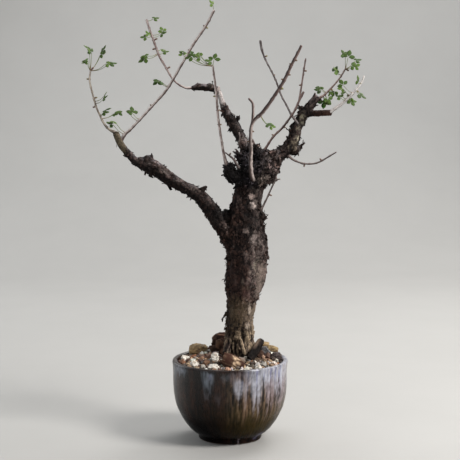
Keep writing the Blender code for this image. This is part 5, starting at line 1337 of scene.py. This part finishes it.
# A leaflet, a sheet over u from base to tip and v across. Half its width is
# 0.29 (sin(pi u^1.1))^0.85 (1 + teeth), its height (0.06 - 0.17 u^2 - 0.7 w^2) of its length with a fold
# along the rib and small waves, and its two faces lie half a thickness from it.
def leafletShape(hub, ahead, facing, length, start, age, rng):
    rows, columns = leafLook["rows"], leafLook["columns"]
    u, v = np.meshgrid(np.linspace(0, 1, rows), np.linspace(-1, 1, columns), indexing="ij")
    wave = np.abs(np.sin(u * math.pi * leafLook["teeth"] + 0.4))
    outline = 0.29 * np.sin(math.pi * np.clip(u, 0.02, 0.985) ** 1.10) ** 0.85
    half = outline * (1 + leafLook["toothDepth"] * (wave * 2 - 1) * np.abs(v) ** 3) + 0.012
    spread = v * half
    reach = start + (1 - start) * u
    lift = 0.06 - 0.17 * reach ** 2 - 0.7 * spread ** 2 + 0.16 * np.abs(spread) * (1 - u)
    lift = lift + 0.035 * noiseAt(np.stack([u * 3, v * 1.5, np.full(u.shape, rng.random() * 50)], -1), 121)
    lift = lift - 0.018 * np.abs(np.sin((u - 0.35 * np.abs(v)) * math.pi * 5)) * ease(0.05, 0.3, np.abs(v))
    beside = np.cross(ahead, facing)
    middle = ahead * reach[..., None] + beside * spread[..., None] + facing * lift[..., None]
    middle = hub + middle * length
    half = facing * leafLook["thickness"] / 2
    points = np.stack([middle + half, middle - half]).reshape(-1, 3)
    veins = 1 - ease(0.05, 0.22, np.abs(v))
    rim = ease(0.80, 1.0, np.abs(v) + 0.4 * ease(0.85, 1, u))
    light = paints(leafLook)
    tint = blend(light["deep"], light["green"], np.full(u.shape, 0.45 + 0.5 * rng.random()))
    tint = blend(tint, light["young"], np.full(u.shape, age))
    tint = blend(tint, light["young"], 0.40 * veins)
    tint = blend(tint, light["edge"], 0.35 * rim)
    under = blend(tint, light["young"], np.full(u.shape, 0.35))
    flow = np.stack([u, v, np.full(u.shape, rng.random() * 20)], -1)
    return shapeOf(points, sheetFaces(rows, columns), (), np.stack([tint, under]).reshape(-1, 3),
                   np.stack([flow, flow]).reshape(-1, 3), 1)

# A leaf: three leaflets round its hub and a bowed stalk from the shoot to their heel. A leaf that would pass
# the box of the solids is moved back inside it.
def leafShapes(samples, values, draws, rng):
    x, z, depth, lean, length = values
    length = length * leafLook["growth"]
    hub = seenAt([(x, z, depth)])[0]
    tilt = math.radians(lean)
    heading = unit(np.array([math.cos(tilt), draws.uniform(-0.6, 0.3), math.sin(tilt) * 0.6]))
    facing = np.array([draws.uniform(-0.5, 0.5), -0.62, draws.uniform(0.5, 1.6)])
    facing = unit(facing - heading * (facing @ heading))
    beside = np.cross(facing, heading)
    age = 0.65 if length < 6 else rng.uniform(0.0, 0.45)
    shapes = []
    for turn in leafLook["turns"]:
        angle = math.radians(turn)
        ahead = heading * math.cos(angle) + beside * math.sin(angle)
        share = 1.0 if turn == 0 else leafLook["sideShare"]
        shapes.append(leafletShape(hub, ahead, facing, length * share, leafLook["start"], age, rng))
    low, high = np.array(solidBox) / metre + [[0.1], [-0.1]]
    every = np.vstack([shape["points"] for shape in shapes])
    shift = np.maximum(low - every.min(0), 0) - np.maximum(every.max(0) - high, 0)
    for shape in shapes:
        shape["points"] = shape["points"] + shift
    heel = hub - heading * length * leafLook["tongue"] * 0.25 + shift
    index = 1 + np.argmin(np.linalg.norm(samples[1:, :3] - heel, axis=1))
    base = samples[index, :3]
    bow = np.array([0, 0, -0.10]) * np.linalg.norm(heel - base)
    middle = (base + heel) / 2 + bow
    stalk = sweep(curveThrough(np.array([[*base, 0.44], [*middle, 0.27], [*heel, 0.24]]), 0.8), 7)
    greening = np.linalg.norm(stalk["points"] - base, axis=1) / max(1.0, float(np.linalg.norm(heel - base)))
    light = paints(shootLook)
    stalk["tint"] = blend(light["stalk"], light["stalkTip"], ease(0.0, 0.6, greening))
    return [stalk] + shapes

# each shoot with its fork, buds and leaves as one piece; most leaves get a smaller partner beside them
def makeShoots():
    young = makeFinish("youngBark", {
        "speckSize": 0.9, "speckShare": 0.35, "speck": paint(92, 66, 60), "grainSize": 0.4,
        "grainShare": 0.20, "rough": (0.45, 0.70), "bump": 0.35, "bumpDepth": 0.15, "stretch": (1, 1, 0.4)})
    leaf = makeLeafFinish()
    draws, rng = random.Random(21), np.random.default_rng(22)
    leaves = 0
    for name, values in shoots.items():
        look = (values["bark"], values.get("paleBelow", 0), values.get("sun", shootLook["sun"]))
        samples, stem = shootStem(values["route"], 14, *look, rng)
        shapes = [stem]
        if "fork" in values:
            more, fork = shootStem(values["fork"], 12, *look, rng)
            shapes.append(fork)
            samples = np.vstack([samples, more])
        shapes += [budShape(samples, *bud, values["bark"], rng) for bud in values.get("buds", [])]
        for x, z, depth, lean, length in values.get("leaves", []):
            shapes += leafShapes(samples, (x, z, depth, lean, length), draws, rng)
            leaves += 1
            if z < leafLook["partnerBelow"] and x < leafLook["partnerLeftOf"]:
                away, size = leafLook["partner"]
                turn = rng.uniform(0, 2 * math.pi)
                beside = (x + away * math.cos(turn), z + away * math.sin(turn), depth + rng.uniform(-3, 3),
                          lean + rng.uniform(-80, 80), length * size)
                shapes += leafShapes(samples, beside, draws, rng)
                leaves += 1
        putPiece(fineName(name), joined(shapes), [young, leaf], [name], 80)
    print("shoots:", len(shoots), "with", leaves, "leaves")

# leaf green with side veins as pale lines where sin of the place along the rib comes near 1
def makeLeafFinish():
    material = makeFinish("leafGreen", {
        "speckSize": 0.25, "speckShare": 0.20, "speck": paint(48, 72, 30), "grainSize": 0.10,
        "grainShare": 0.14, "rough": (0.60, 0.80), "bump": 0.3, "bumpDepth": 0.10,
        "shader": {"Subsurface Weight": 0.12, "Subsurface Scale": 0.001, "Subsurface Radius": (0.5, 1.0, 0.2),
                   "Specular IOR Level": 0.28}})
    tree = material.node_tree
    base = tree.nodes["Principled BSDF"].inputs["Base Color"]
    parts = addNode(tree, "ShaderNodeSeparateXYZ", {"Vector": ownValue(tree, "flow", "Vector")}).outputs
    slant = mathNode(tree, "MULTIPLY_ADD", mathNode(tree, "ABSOLUTE", parts[1]), -0.38, parts[0])
    sine = mathNode(tree, "SINE", mathNode(tree, "MULTIPLY", slant, 34.0))
    veins = rangeNode(tree, sine, 0.72, 1.0, 0, 0.35)
    tree.links.new(mixNode(tree, veins, base.links[0].from_socket, paint(106, 128, 64)), base)
    return material

makeView()
makeFloor()
makePot()
makeSoil()
makeStones()
makeLooseBark()
makeGrit()
makeTrunk()
makeShoots()
